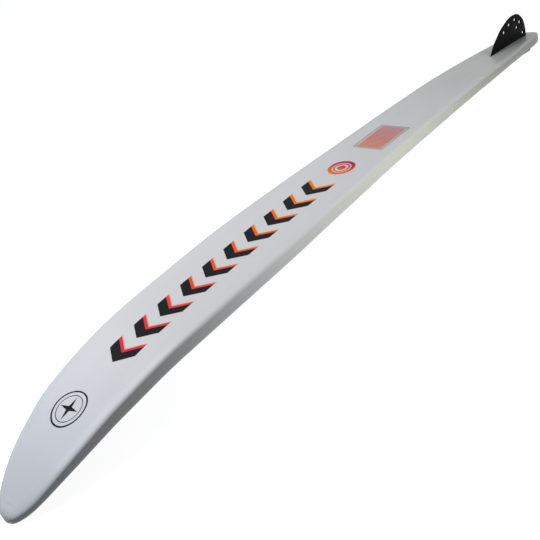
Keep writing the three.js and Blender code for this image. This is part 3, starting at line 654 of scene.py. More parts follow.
def railShaded(tree, colour, along, mask):   # painted shade: the rail greys towards both ends
    tip = times(tree, ramp(tree, along, *baseFinish["railTip"]), baseFinish["railTipPaintedShade"])
    tail = times(tree, ramp(tree, along, *baseFinish["railTail"]), baseFinish["railTailPaintedShade"])
    return tinged(tree, colour, baseFinish["railPaintedShade"], plus(tree, tip, tail), mask)


def baseGelcoat():
    look = baseFinish
    material, tree, shader, spot, place, wear = skiFinish("baseGelcoat", look["shader"])
    rim, along = rimOf(tree), place["Along"]
    colour = whiteWithPaintedTipLight(tree, along)
    colour = blend(tree, ramp(tree, along, *look["warmSpan"]), colour, look["warmTail"])
    colour = tinged(tree, colour, look["edgeTint"], ramp(tree, rim, *look["edgeRim"]),
                    ramp(tree, along, *look["edgeSpan"]))
    # painted shade on the rail of the base skin
    colour = railShaded(tree, colour, along, ramp(tree, rim, *look["railRim"]))
    # painted shade: darker streaks along the base beside the fin
    streak = noise(tree, stretched(tree, spot, look["streakRun"]), *look["streak"])
    streak = times(tree, ramp(tree, streak, *look["streakMask"]),
                  ramp(tree, along, *look["streakSpan"]))
    chafe = times(tree, ramp(tree, noise(tree, spot, *look["chafe"]), *look["chafeMask"]),
                 ramp(tree, along, *look["chafeSpan"]))
    # painted shade at the tail end
    tail = ramp(tree, along, *look["tailSpan"])
    # real grime on smudges, scratches and chafe; painted shade at the tail end and in the streaks by the fin
    for share, amount in ((wear["Smudges"], "smudges"), (wear["Scratches"], "scratches"), (tail, "tailEndPaintedShade"),
                          (streak, "streaks"), (chafe, "chafed")):
        colour = tinged(tree, colour, look["grimeAndShade"], share, look[amount])
    rough = timesPlus(tree, wear["Smudges"], look["smudgeRough"], look["shader"]["Roughness"])
    rough = timesPlus(tree, chafe, look["chafeRough"], rough)
    height = timesPlus(tree, noise(tree, spot, *look["peel"]), look["peelDepth"], wear["Height"])
    height = timesPlus(tree, chafe, look["chafeDepth"], height)
    connect(tree, shader, {"Base Color": colour, "Roughness": rough,
                           "Normal": bumped(tree, height, *look["bump"])})
    return material


deckFinish = {
    "shader": {"Roughness": 0.34, "Coat Weight": 0.3, "Coat Roughness": 0.2},
    "dark": (0.018, 0.019, 0.021, 1), "sheen": (0.055, 0.058, 0.064, 1), "dust": (0.16, 0.16, 0.155, 1),
    "tow": 0.0022, "twill": 4.0, "sheenShares": (0.6, 0.2), "scratches": 0.5, "smudges": 0.2,
    # the low keys set painted shade along the rail's lower edge, towards the tail
    "lowRim": (1.30, 1.05), "lowSpan": (0.8, 1.3), "lowEdgePaintedShade": 0.6, "shellRim": (0.90, 0.96),
    "weaveRim": (0.9, 0.85), "roughShares": (0.2, 0.3), "bump": (0.25, 0.0002),
}


def deckGelcoat():   # dark woven top sheet, white from the deck's edge up the rail, with painted shade on the rail
    look = deckFinish
    material, tree, shader, _, place, wear = skiFinish("deckGelcoat", look["shader"])
    along, across, rim, tow = place["Along"], place["Across"], rimOf(tree), look["tow"]
    rows, columns = (calc(tree, "FLOOR", ratio(tree, way, tow)) for way in (along, across))
    over = calc(tree, "FLOORED_MODULO", plus(tree, rows, columns), look["twill"])
    over = calc(tree, "LESS_THAN", over, look["twill"] / 2)
    alongTow, acrossTow = (calc(tree, "PINGPONG", way, tow / 2) for way in (across, along))
    weave = ratio(tree, shade(tree, "Mix", {0: over, 2: alongTow, 3: acrossTow}), tow / 2)
    cloth = blend(tree, timesPlus(tree, over, *look["sheenShares"]), look["dark"], look["sheen"])
    cloth = tinged(tree, cloth, look["dust"], wear["Scratches"], look["scratches"])
    shell = blend(tree, ramp(tree, along, *baseFinish["edgeSpan"]), whiteWithPaintedTipLight(tree, along),
                  baseFinish["edgeTint"])
    # painted shade on the rail of the deck skin, greyer towards both ends
    shell = railShaded(tree, shell, along, 1.0)
    # painted shade along the rail's lower edge, towards the tail
    lowEdgeShade = times(tree, ramp(tree, rim, *look["lowRim"]), ramp(tree, along, *look["lowSpan"]))
    shell = tinged(tree, shell, baseFinish["railPaintedShade"], lowEdgeShade, look["lowEdgePaintedShade"])
    shell = tinged(tree, shell, baseFinish["grimeAndShade"], wear["Smudges"], look["smudges"])
    colour = blend(tree, ramp(tree, rim, *look["shellRim"]), cloth, shell)
    rough = timesPlus(tree, wear["Smudges"], *look["roughShares"])
    deep = times(tree, weave, ramp(tree, rim, *look["weaveRim"]))
    height = plus(tree, deep, wear["Height"])
    connect(tree, shader, {"Base Color": colour, "Roughness": rough,
                           "Normal": bumped(tree, height, *look["bump"])})
    return material


metalWear = {"patches": (45.0, 4.0, 0.65), "patchSpan": (0.45, 0.75), "patchRough": 0.14, "depth": 0.00008,
             "specular": 0.5}
metalFinishes = {
    "finBlack": {"tint": (0.002, 0.002, 0.0025, 1), "worn": (0.010, 0.010, 0.012, 1), "metallic": 0.0,
                 "specular": 0.035, "roughness": 0.5, "scale": 1500.0, "stretch": (0.4, 1, 0.4), "bump": 0.25,
                 "wear": 0.35},
    "bareAluminium": {"tint": (0.60, 0.61, 0.62, 1), "worn": (0.36, 0.365, 0.37, 1), "metallic": 1.0,
                      "roughness": 0.36, "scale": 1200.0, "stretch": (0.05, 1, 1), "bump": 0.2, "wear": 0.5},
    "stainlessSteel": {"tint": (0.56, 0.55, 0.53, 1), "worn": (0.28, 0.27, 0.26, 1), "metallic": 1.0,
                       "roughness": 0.28, "scale": 2200.0, "stretch": (1, 1, 0.2), "bump": 0.15, "wear": 0.5},
    "turnedBrass": {"tint": (0.62, 0.43, 0.16, 1), "worn": (0.30, 0.20, 0.09, 1), "metallic": 1.0,
                    "roughness": 0.32, "scale": 2000.0, "stretch": (1, 1, 0.1), "bump": 0.15, "wear": 0.6},
}


def metalFinish(name):
    look = {**metalWear, **metalFinishes[name]}
    material, tree, shader, spot = newFinish(name, {
        "Roughness": look["roughness"], "Metallic": look["metallic"], "Specular IOR Level": look["specular"]})
    lines = useGroup(tree, grainTree, {"Vector": spot, "Scale": look["scale"], "Stretch": look["stretch"]})
    patches = ramp(tree, noise(tree, spot, *look["patches"]), *look["patchSpan"])
    share = times(tree, plus(tree, lines["Mask"], patches), look["wear"], clamp=True)
    connect(tree, shader, {
        "Base Color": blend(tree, share, look["tint"], look["worn"]),
        "Roughness": timesPlus(tree, patches, look["patchRough"], look["roughness"]),
        "Normal": bumped(tree, lines["Height"], look["bump"], look["depth"])})
    return material


coreWear = {"cellSpan": (0.15, 0.75), "patches": 30.0, "patchSpan": (0.2, 0.8), "darkRough": 0.1,
            "depth": 0.0002}
coreFinishes = {
    "closedFoam": {"tint": (0.62, 0.47, 0.25, 1), "dark": (0.36, 0.25, 0.11, 1), "cell": 900.0,
                   "roughness": 0.85, "bump": 0.6},
    "laminatePlate": {"tint": (0.35, 0.42, 0.20, 1), "dark": (0.20, 0.26, 0.11, 1), "cell": 420.0,
                      "roughness": 0.45, "bump": 0.25},
}


def coreFinish(name):
    look = {**coreWear, **coreFinishes[name]}
    material, tree, shader, spot = newFinish(name, {"Roughness": look["roughness"]})
    cells = shade(tree, "TexVoronoi", {"Vector": spot, "Scale": look["cell"]})
    share = times(tree, ramp(tree, cells, *look["cellSpan"]),
                 ramp(tree, noise(tree, spot, look["patches"]), *look["patchSpan"]))
    connect(tree, shader, {
        "Base Color": blend(tree, share, look["tint"], look["dark"]),
        "Roughness": timesPlus(tree, share, look["darkRough"], look["roughness"]),
        "Normal": bumped(tree, cells, look["bump"], look["depth"])})
    return material


inkWear = {
    "shader": {"Roughness": 0.45, "Specular IOR Level": 0.04},
    "thin": (2600.0, 3.0), "thinSpan": (0.60, 0.72), "thinShare": 0.3, "rubbed": 0.35, "bare": 0.25,
    "roughShares": (0.2, 0.42), "bump": (0.1, 0.0006),
}
inks = {
    "blackInk": {"from": (0.005, 0.005, 0.008, 1), "to": (0.005, 0.005, 0.008, 1), "span": (0.0, 1.7)},
    "shadeInk": {"from": (0.78, 0.035, 0.055, 1), "to": (0.86, 0.20, 0.014, 1), "span": (0.28, 0.82)},
    "haloInk": {"from": (0.86, 0.36, 0.40, 1), "to": (0.93, 0.55, 0.25, 1), "span": (0.28, 0.82)},
    "ringInk": {"from": (0.84, 0.19, 0.012, 1), "to": (0.50, 0.012, 0.07, 1), "span": (0.885, 0.925)},
    "dotInk": {"from": (0.84, 0.16, 0.008, 1), "to": (0.60, 0.03, 0.05, 1), "span": (0.99, 1.07)},
    "lineInk": {"from": (0.05, 0.02, 0.02, 1), "to": (0.05, 0.02, 0.03, 1), "span": (0.99, 1.09)},
}


def inkFinish(name):   # fades from one colour to the other along the ski, and is rubbed thin in places
    look = {**inkWear, **inks[name]}
    material, tree, shader, spot, place, wear = skiFinish(name, look["shader"])
    colour = blend(tree, ramp(tree, place["Along"], *look["span"]), look["from"], look["to"])
    thin = times(tree, ramp(tree, noise(tree, spot, *look["thin"]), *look["thinSpan"]),
                look["thinShare"])
    rubbed = times(tree, plus(tree, wear["Scratches"], thin), look["rubbed"], clamp=True)
    connect(tree, shader, {
        "Base Color": tinged(tree, colour, baseFinish["white"], rubbed, look["bare"]),
        "Roughness": timesPlus(tree, wear["Smudges"], *look["roughShares"]),
        "Normal": bumped(tree, wear["Height"], *look["bump"])})
    return material


print("Mixing the finishes")
finishes = {"baseGelcoat": baseGelcoat(), "deckGelcoat": deckGelcoat()}
for mix, names in ((metalFinish, metalFinishes), (coreFinish, coreFinishes), (inkFinish, inks)):
    finishes.update({name: mix(name) for name in names})

# The two skins

shells = {
    "bottomShell": {"node": "bottom_skin", "slot": "base_gelcoat", "finish": "baseGelcoat",
        "surface": baseHeight, "deck": False,
        "rule": {"Edge Rows": 12, "Rail Rows": 4, "Columns": 17, "Edge Offset": 0.0,
                 "Edge Span": ski["bevelWidth"], "Edge Depth": ski["bevelDepth"], "Roundness": 1.0}},
    "deckShell": {"node": "deck_skin", "slot": "deck_gelcoat", "finish": "deckGelcoat",
        "surface": deckHeight, "deck": True,
        "rule": {"Edge Rows": 8, "Rail Rows": 3, "Columns": 13, "Edge Offset": ski["railLean"],
                 "Edge Span": ski["deckBevelWidth"], "Edge Depth": -ski["deckBevelHeight"],
                 "Roundness": 0.12}},
}


def makeShell(name):
    spec = shells[name]
    shape = outlineLoop(name, spec["surface"], spec["deck"])
    addRule(shape, shellTree, {**spec["rule"], "Flip": spec["deck"], "Tilt": (0, ski["tilt"], 0),
                               "Place": ski["place"], "Material": finishes[spec["finish"]]})
    wall = shape.modifiers.new("wall", "SOLIDIFY")
    wall.thickness, wall.offset = ski["wall"], -1
    addRule(shape, openingsTree, {**openings, "With Holes": spec["deck"]})
    settle(shape)
    attach(shape, "ski", spec["slot"], spec["node"])
    return shape


print("Laying up the skins")
shellTree, openingsTree = shellRule(), openingsRule()
bottomShell = makeShell("bottomShell")
makeShell("deckShell")

# Turned pieces: a profile of radius and height in mm, swung round by Geometry Nodes. A profile
# point's third value is how much of the thread's depth it takes: 1 outside, -1 in a bore.

turnedSides = 28
socketKey = {"length": 0.02, "smallest": 0.0001}   # the hexagon that cuts a socket
turnedInputs = [("Sides", "Int", 32), ("Thread Pitch", "Float", 0.001), ("Thread Depth", "Float", 0.0),
                ("Socket", "Float", 0.0), ("Socket Floor", "Float", 0.0), *spotInputs,
                ("Material", "Material")]


def turnedRule():
    tree, given, result = shapeTree("turnedRule", turnedInputs)
    profile = given["Geometry"]
    rows = geo(tree, "AttributeDomainSize", {"Geometry": profile})
    wide = plus(tree, given["Sides"], 1.0)
    grid = geo(tree, "MeshGrid", {"Vertices X": rows, "Vertices Y": wide})
    row, column = gridPlace(tree, wide)
    share = ratio(tree, calc(tree, "FLOORED_MODULO", column, given["Sides"]), given["Sides"])
    angle = times(tree, share, -math.tau)
    at = plus(tree, row, indexNudge)
    point = split(tree, sampled(tree, profile, "position", at, "FLOAT_VECTOR"))
    turns = plus(tree, share, ratio(tree, point[2], given["Thread Pitch"]))
    groove = times(tree, calc(tree, "PINGPONG", turns, 0.5), 2.0)
    groove = times(tree, times(tree, groove, given["Thread Depth"]),
                  sampled(tree, profile, "thread", at))
    radius = calc(tree, "MAXIMUM", minus(tree, point[0], groove), 0.0)
    place = vector(tree, times(tree, radius, calc(tree, "COSINE", angle)),
                   times(tree, radius, calc(tree, "SINE", angle)), point[2])
    body = merged(tree, geo(tree, "SetPosition", {"Geometry": grid, "Position": place}), weldGap)
    across = ratio(tree, given["Socket"], 2 * math.cos(math.pi / 6))
    key = geo(tree, "MeshCylinder", {"Vertices": 6, "Depth": socketKey["length"],
                                     "Radius": calc(tree, "MAXIMUM", across, socketKey["smallest"])})
    middle = plus(tree, given["Socket Floor"], socketKey["length"] / 2)
    key = shifted(tree, key, vector(tree, z=middle))
    hasSocket = calc(tree, "GREATER_THAN", given["Socket"], socketKey["smallest"])
    piece = geo(tree, "Switch", {"Switch": hasSocket, "True": cut(tree, body, key), "False": body},
                input_type="GEOMETRY")
    spots = useGroup(tree, spotTree, {label: given[label] for label, *kind in spotInputs})[0]
    return endTree(tree, result, realized(tree, onPoints(tree, spots, piece)), given["Material"])


def threadRows(radius, low, high, pitch, share, rowsPerTurn=6):
    count = max(2, round(abs(high - low) / pitch * rowsPerTurn))
    return [(radius, low + (high - low) * i / count, share) for i in range(count + 1)]


def screwProfile(diameter, reach, head, headHeight, pitch, chamfer=0.35, point=0.5, neck=(1.0, 0.7)):
    shank, cap = diameter / 2, head / 2
    return [(0, -reach, 0), (shank - point, -reach, 0),
            *threadRows(shank, -reach + point, -neck[0], pitch, 1), (shank, -neck[1], 0), (shank, 0, 0),
            (cap - chamfer / 2, 0, 0), (cap, chamfer / 2, 0), (cap, headHeight - chamfer, 0),
            (cap - chamfer * 0.3, headHeight - chamfer * 0.3, 0),
            (cap - chamfer, headHeight, 0), (0, headHeight, 0)]


def setScrewProfile(diameter, length, pitch, point=0.6):
    shank = diameter / 2
    return [(0, 0, 0), (shank - point, 0, 0), *threadRows(shank, point, length - point, pitch, 1),
            (shank - point, length, 0), (0, length, 0)]


def insertProfile(diameter, length, bore, boreDepth, pitch, mouth=0.7, plain=(0.4, 0.2), edge=0.15,
                  chamfer=0.3):
    outer, inner = diameter / 2, bore / 2
    return [(0, boreDepth, 0), (inner, boreDepth, 0),
            *threadRows(inner, boreDepth - plain[0], mouth + plain[1], pitch, -1), (inner, mouth, 0),
            (inner + mouth, 0, 0), (outer - edge, 0, 0), (outer, edge, 0), (outer, length - chamfer, 0),
            (outer - chamfer, length, 0), (0, length, 0)]


def pinProfile(diameter, length, edge=0.2):
    radius = diameter / 2
    return [(0, 0, 0), (radius - edge, 0, 0), (radius, edge, 0), (radius, length - edge, 0),
            (radius - edge, length, 0), (0, length, 0)]


def collarProfile(inner, outer, length, edge=0.15):
    return [(inner, edge, 0), (inner + edge, 0, 0), (outer - edge, 0, 0), (outer, edge, 0),
            (outer, length - edge, 0), (outer - edge, length, 0), (inner + edge, length, 0),
            (inner, length - edge, 0), (inner, edge, 0)]


def numbered(stem, count):
    return [f"{stem}_{i}" for i in range(1, count + 1)]


# Kinds of fitting, in mm: thread is pitch and depth, socket is width and floor, at is x, y, z and turn

insert = {"finish": "turnedBrass", "slot": "brass", "everySpot": True}
adjuster = {"thread": (0.7, 0.35), "socket": (3, 1.6), "seat": "fin"}
adjusterHead = {"diameter": 4, "head": 6.8, "headHeight": 4, "pitch": 0.7}
depthScrew = {**adjuster, "profile": screwProfile(reach=11.5, **adjusterHead)}
clampScrew = {"profile": setScrewProfile(6, 6, 1.0), "thread": (1.0, 0.5), "socket": (3, 2.4), "seat": "fin"}
hangerPin = {"profile": pinProfile(2, 12.4), "seat": "fin", "body": "fin"}
fittings = {
    "frontInserts": {**insert, "profile": insertProfile(11, 11, 5, 9.5, 1.0), "thread": (1.0, 0.3),
                     "seat": "front", "nodes": numbered("front_insert", 8)},
    "rearInserts": {**insert, "profile": insertProfile(11, 11, 5, 9.5, 1.0), "thread": (1.0, 0.3),
                    "seat": "rear", "nodes": numbered("rear_insert", 8)},
    "blockInserts": {**insert, "profile": insertProfile(7, 9.4, 4.6, 8.7, 0.7), "thread": (0.7, 0.2),
                     "seat": "fin", "nodes": numbered("block_insert", 6)},
    "blockScrews": {"profile": screwProfile(4, 12.5, 7.4, 2.6, 0.7), "thread": (0.7, 0.35),
                    "socket": (2.5, 1.04), "seat": "fin", "at": (0, 0, -4.3, 180, "X"), "everySpot": True,
                    "nodes": numbered("block_screw", 6)},
    "depthScrewFront": {**depthScrew, "at": (44, 0, -15.9, 180, "X"), "body": "depth_screw_front",
                        "nodes": ["depth_screw_front"]},
    "depthScrewRear": {**depthScrew, "at": (-44, 0, -15.9, 180, "X"), "body": "depth_screw_rear",
                       "nodes": ["depth_screw_rear"]},
    "travelScrew": {**adjuster, "profile": screwProfile(reach=29, **adjusterHead),
                    "at": (86.3, 0, -17.1, 90, "Y"), "body": "travel_screw", "nodes": ["travel_screw"]},
    "travelCollar": {"profile": collarProfile(2.3, 3.4, 1.5), "seat": "fin", "at": (76.2, 0, -17.1, 90, "Y"),
                     "body": "travel_screw", "nodes": ["travel_screw_collar"]},
    "clampScrewFront": {**clampScrew, "at": (20, 5.4, -7.3, -90, "X"), "body": "clamp_screw_front",
                        "nodes": ["clamp_screw_front"]},
    "clampScrewRear": {**clampScrew, "at": (-20, 5.4, -7.3, -90, "X"), "body": "clamp_screw_rear",
                       "nodes": ["clamp_screw_rear"]},
    "hangerPinFront": {**hangerPin, "at": (58, -6.2, -5.85, -90, "X"), "nodes": ["hanger_pin_front"]},
    "hangerPinRear": {**hangerPin, "at": (-58, -6.2, -5.85, -90, "X"), "nodes": ["hanger_pin_rear"]},
}


def makeTurned(name):
    spec = fittings[name]
    mesh = bpy.data.meshes.new(name)
    mesh.from_pydata([(radius * mm, 0, height * mm) for radius, height, share in spec["profile"]], [], [])
    shares = mesh.attributes.new("thread", "FLOAT", "POINT")
    shares.data.foreach_set("value", [float(share) for radius, height, share in spec["profile"]])
    shape = newShape(name, mesh)
    pitch, depth = spec.get("thread", (1.0, 0.0))
    socket, floor = spec.get("socket", (0.0, 0.0))
    spots = seats[spec["seat"]]["spots"] if "everySpot" in spec else oneSpot
    addRule(shape, turnedTree, {
        "Sides": turnedSides, "Thread Pitch": pitch * mm, "Thread Depth": depth * mm, "Socket": socket * mm,
        "Socket Floor": floor * mm, **spots, "Material": finishes[spec.get("finish", "stainlessSteel")]})
    settle(shape, seatMatrix(spec["seat"], *spec.get("at", ())), sharpAngle=40)
    attach(shape, spec.get("body", "ski"), spec.get("slot", "steel"), *spec["nodes"])


print("Turning screws, inserts and pins")
turnedTree = turnedRule()
for fitting in fittings:
    makeTurned(fitting)

# Fin blade, in mm: the outline and the holes are shares of the root's length, from its front end, and
# of the height. The tab in the block is x and z on the fin's seat.

fin = {
    "rootLength": 165, "height": 61.5, "thickness": 3.2, "edge": 0.55, "edgeSteps": 2,
    "holeRadius": 4, "holePoints": 36, "pinHole": (58, -5.85, 1.3), "pinPoints": 20,
    "outline": [(0, 0), (.105, .320), (.206, .520), (.296, .685), (.417, .837), (.538, .948), (.663, 1),
                (.793, .972), (.884, .828), (.950, .640), (.980, .440), (.997, .200), (1, 0)],
    "holes": [(.393, .554), (.548, .727), (.714, .803), (.847, .623), (.916, .160), (.758, .473)],
    "tab": [(-82.5, 4), (-63.3, 4), (-63.3, -0.8), (-63, -0.8), (-63, -8), (-53, -8), (-53, -0.8),
            (-31, -0.8), (-31, -8)],
}


def finPoint(along, up):
    x = (0.5 - along) * fin["rootLength"]
    s = ski["finSeat"] - x * mm
    return Vector((x, (baseHeight(s) - deckHeight(s)) / mm + up * fin["height"]))


def smoothThrough(points, steps=8):
    path = []
    padded = [points[0], *points, points[-1]]
    for p0, p1, p2, p3 in zip(padded, padded[1:], padded[2:], padded[3:]):
        for i in range(steps):
            t = i / steps
            path.append(0.5 * (2 * p1 + (p2 - p0) * t + (2 * p0 - 5 * p1 + 4 * p2 - p3) * t * t
                               + (3 * p1 - p0 - 3 * p2 + p3) * t ** 3))
    return path + [points[-1]]


def circlePoints(x, z, radius, count):
    angles = [math.tau * i / count for i in range(count)]
    return [Vector((x + radius * math.cos(angle), z + radius * math.sin(angle))) for angle in angles]


def makeFin():
    exposed = smoothThrough([finPoint(*share) for share in fin["outline"]])
    tab = [Vector(point) for point in fin["tab"]]
    tab += [Vector((-point.x, point.y)) for point in reversed(tab)]
    x, z, radius = fin["pinHole"]
    loops = [exposed + tab]
    loops += [circlePoints(*finPoint(*share), fin["holeRadius"], fin["holePoints"]) for share in fin["holes"]]
    loops += [circlePoints(side * x, z, radius, fin["pinPoints"]) for side in (1, -1)]
    curve = bpy.data.curves.new("finBlade", "CURVE")
    curve.dimensions, curve.fill_mode = "2D", "BOTH"
    curve.extrude = (fin["thickness"] / 2 - fin["edge"]) * mm
    curve.bevel_depth, curve.offset = fin["edge"] * mm, -fin["edge"] * mm
    curve.bevel_resolution = fin["edgeSteps"]
    for loop in loops:
        spline = curve.splines.new("POLY")
        spline.points.add(len(loop) - 1)
        spline.use_cyclic_u = True
        for point, at in zip(spline.points, loop):
            point.co = (at.x * mm, at.y * mm, 0, 1)
    drawn = bpy.data.objects.new("finDrawing", curve)
    bpy.context.scene.collection.objects.link(drawn)
    mesh = bpy.data.meshes.new_from_object(drawn.evaluated_get(bpy.context.evaluated_depsgraph_get()))
    bpy.data.objects.remove(drawn)
    mesh.transform(seatMatrix("fin", turn=90))
    remade(mesh, "finBlack", lambda body: bmesh.ops.recalc_face_normals(body, faces=body.faces))
    shape = newShape("finBlade", mesh)
    settle(shape, sharpAngle=35)
    attach(shape, "fin", "black_anodised", "fin_blade")


print("Cutting the fin")
makeFin()

# Milled pieces of the fin block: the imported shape, with its edges broken as a mill leaves them

bareMetal = {"slot": "bare_aluminium", "finish": "bareAluminium"}
milled = {
    "blockBody": {"node": "fin_block_body", "body": "ski", "slot": "black_anodised", "finish": "finBlack",
                  "edge": 0.5},
    "carriageBar": {**bareMetal, "node": "carriage_bar", "body": "carriage", "edge": 0.35},
    "hangerFront": {**bareMetal, "node": "hanger_front", "body": "fin", "edge": 0.3},
    "hangerRear": {**bareMetal, "node": "hanger_rear", "body": "fin", "edge": 0.3},
    "clampPlate": {**bareMetal, "node": "clamp_plate", "body": "clamp", "edge": 0.35},
}
brokenEdge = {"segments": 2, "limit_method": "ANGLE", "angle_limit": math.radians(40)}
flatAngle = math.radians(1)   # facets that bend less than this are one face


def makeMilled(name):
    spec = milled[name]
    mesh = bpy.data.objects[spec["node"]].data.copy()
    mesh.name = name
    remade(mesh, spec["finish"], lambda body: bmesh.ops.dissolve_limit(
        body, angle_limit=flatAngle, verts=body.verts, edges=body.edges))
    shape = newShape(name, mesh)
    edge = shape.modifiers.new("brokenEdges", "BEVEL")
    for setting, value in {"width": spec["edge"] * mm, **brokenEdge}.items():
        setattr(edge, setting, value)
    settle(shape, sharpAngle=30)
    attach(shape, spec["body"], spec["slot"], spec["node"])


print("Milling the fin block")
for piece in milled:
    makeMilled(piece)

# CAD nodes that keep their own mesh

carried = {"closedFoam": ["foam_core"],
           "laminatePlate": ["front_insert_plate", "rear_insert_plate", "fin_slot_block"]}


def dressNodes():
    for finish, nodes in carried.items():
        for node in nodes:
            shape = bpy.data.objects[node]
            if not shape.material_slots:
                shape.data.materials.append(finishes[finish])
            for socket in shape.material_slots:
                socket.link = "OBJECT"
                socket.material = finishes[finish]


print("Finishing the carried pieces")
dressNodes()

# Print on the base: thin films laid on its surface by Geometry Nodes, generic shapes only

film = {"thickness": 0.02, "lift": 0.14}   # in mm
laying = {"height": 0.4, "reach": 1.0}   # where the film drops from, and how far, in metres
filmInputs = [("Surface", "Object"), ("Level", "Int", 2), ("Lift", "Float", 0.0001),
              ("Film", "Float", 0.00008), ("Material", "Material")]


def filmGroup():
    tree, given, result = shapeTree("layOnBase", filmInputs)
    up = Matrix.Rotation(ski["tilt"], 3, "Y") @ Vector((0, 0, 1))
    high = Vector(ski["place"]) + laying["height"] * up
    sheet = geo(tree, "Triangulate", {"Mesh": given["Geometry"]})
    sheet = geo(tree, "SubdivideMesh", {"Mesh": sheet, "Level": given["Level"]})
    sheet = shifted(tree, sheet, tuple(high), (0, ski["tilt"], 0))
    target = addNode(tree, "GeometryNodeObjectInfo", {"Object": given["Surface"]}).outputs["Geometry"]
    ray = addNode(tree, "GeometryNodeRaycast", {"Target Geometry": target, "Ray Direction": tuple(-up),
                                                "Ray Length": laying["reach"]})
    lifted = shade(tree, "VectorMath", {0: tuple(up), 3: given["Lift"]}, operation="SCALE")
    place = shade(tree, "VectorMath", {0: ray.outputs["Hit Position"], 1: lifted}, operation="ADD")
    sheet = geo(tree, "SetPosition", {"Geometry": sheet, "Position": place})
    raised = geo(tree, "ExtrudeMesh", {"Mesh": sheet, "Offset": tuple(up), "Offset Scale": given["Film"],
                                       "Individual": False})
    closed = join(tree, raised, geo(tree, "FlipFaces", {"Mesh": sheet}))
    return endTree(tree, result, merged(tree, closed, sheetWeldGap), given["Material"])


filmTree = filmGroup()


def filmRule(name, extra, draw):   # draws a flat shape with x backwards from the tip, then lays it down
    tree, given, result = shapeTree(name, [*extra, *filmInputs])
    laid = {label: given[label] for label, *kind in filmInputs}
    flat = realized(tree, draw(tree, given))
    return endTree(tree, result, useGroup(tree, filmTree, {"Geometry": flat, **laid})[0])


def drawRow(tree, given):
    step = vector(tree, times(tree, given["Step"], -1.0))
    line = geo(tree, "MeshLine", {"Count": given["Count"], "Start Location": given["Start"], "Offset": step})
    return onPoints(tree, line, given["Geometry"])


# Shares of a figure's own radius and line, and how the halftone's dots grow and waver

figureLook = {
    "ringPoints": 64, "discPoints": 48, "emblemRing": (0.74, 0.45), "starPoints": 4, "star": (0.15, 0.62),
    "targetRing": (0.62, 0.45), "dotPoints": 8, "waves": (150.0, 260.0), "waver": 0.04, "growth": 0.14,
}


def circle(tree, radius, resolution):
    return geo(tree, "CurvePrimitiveCircle", {"Resolution": resolution, "Radius": radius})


def filled(tree, *curves):
    outline = join(tree, *curves) if len(curves) > 1 else curves[0]
    return geo(tree, "FillCurve", {"Curve": outline}, mode="TRIANGLES")


def ringSheet(tree, given, radiusShare=1.0, lineShare=1.0):   # a ring, by its shares of the print's sizes
    radius, line = given["Radius"], given["Line"]
    if radiusShare != 1.0:
        radius, line = times(tree, radius, radiusShare), times(tree, line, lineShare)
    edges = (radius, minus(tree, radius, line))
    return filled(tree, *(circle(tree, size, figureLook["ringPoints"]) for size in edges))


def drawEmblem(tree, given):
    outer, inner = ringSheet(tree, given), ringSheet(tree, given, *figureLook["emblemRing"])
    small, large = (times(tree, given["Radius"], share) for share in figureLook["star"])
    star = geo(tree, "CurveStar", {"Points": figureLook["starPoints"], "Inner Radius": small,
                                   "Outer Radius": large})
    return shifted(tree, join(tree, outer, inner, filled(tree, star)), given["Centre"])


def drawTarget(tree, given):
    disc = filled(tree, circle(tree, given["Dot"], figureLook["discPoints"]))
    rings = join(tree, ringSheet(tree, given), disc, ringSheet(tree, given, *figureLook["targetRing"]))
    return shifted(tree, rings, given["Centre"])


def drawDots(tree, given):   # halftone dots that grow a little along the box
    grid = geo(tree, "MeshGrid", {"Size X": given["Length"], "Size Y": given["Width"],
                                  "Vertices X": given["Along"], "Vertices Y": given["Across"]})
    disc = geo(tree, "MeshCircle", {"Vertices": figureLook["dotPoints"], "Radius": given["Dot"]},
               fill_type="NGON")
    spot = split(tree, geo(tree, "InputPosition"))
    fade = plus(tree, ratio(tree, spot[0], given["Length"]), 0.5)
    along, across = figureLook["waves"]
    waves = timesPlus(tree, spot[0], along, times(tree, spot[1], across))
    size = timesPlus(tree, fade, figureLook["growth"], 1.0)
    size = timesPlus(tree, calc(tree, "SINE", waves), figureLook["waver"], size)
    return shifted(tree, onPoints(tree, grid, disc, Scale=vector(tree, size, size, 1.0)), given["Centre"])


def drawFrame(tree, given):
    sides = []
    for inset in (0.0, 2.0):
        length, width = (timesPlus(tree, given["Line"], -inset, given[side])
                         for side in ("Length", "Width"))
        sides.append(geo(tree, "CurvePrimitiveQuadrilateral", {"Width": length, "Height": width}))
    return shifted(tree, filled(tree, *sides), given["Centre"])


# Places and sizes of the print in mm from the tip. The chevrons lie in three layers, each with its ink,
# how far it is set back, and its lift.

chevrons = {
    "count": 10, "start": 268, "centre": 2, "pitch": 58, "half": 31, "depth": 22, "lean": 24, "level": 2,
    "layers": [("chevronHalo", "haloInk", 9.5, 0.035), ("chevronShade", "shadeInk", 7, 0.06),
               ("chevronRow", "blackInk", 0, 0.085)],
}
prints = {
    "emblemPrint": {"draw": drawEmblem, "ink": "blackInk", "level": 1, "place": (169, -3),
                    "sizes": {"Radius": 33, "Line": 2.8}},
    "targetPrint": {"draw": drawTarget, "ink": "ringInk", "level": 1, "place": (904, 3),
                    "sizes": {"Radius": 28, "Line": 8, "Dot": 9}},
    "framePrint": {"draw": drawFrame, "ink": "lineInk", "level": 3, "place": (1042.5, 4.5),
                   "sizes": {"Length": 103, "Width": 71, "Line": 1.4}},
    "dotPrint": {"draw": drawDots, "ink": "dotInk", "level": 0, "place": (1042.5, 4.5),
                 "sizes": {"Length": 92, "Width": 56, "Dot": 1.74}, "counts": {"Along": 23, "Across": 14}},
}


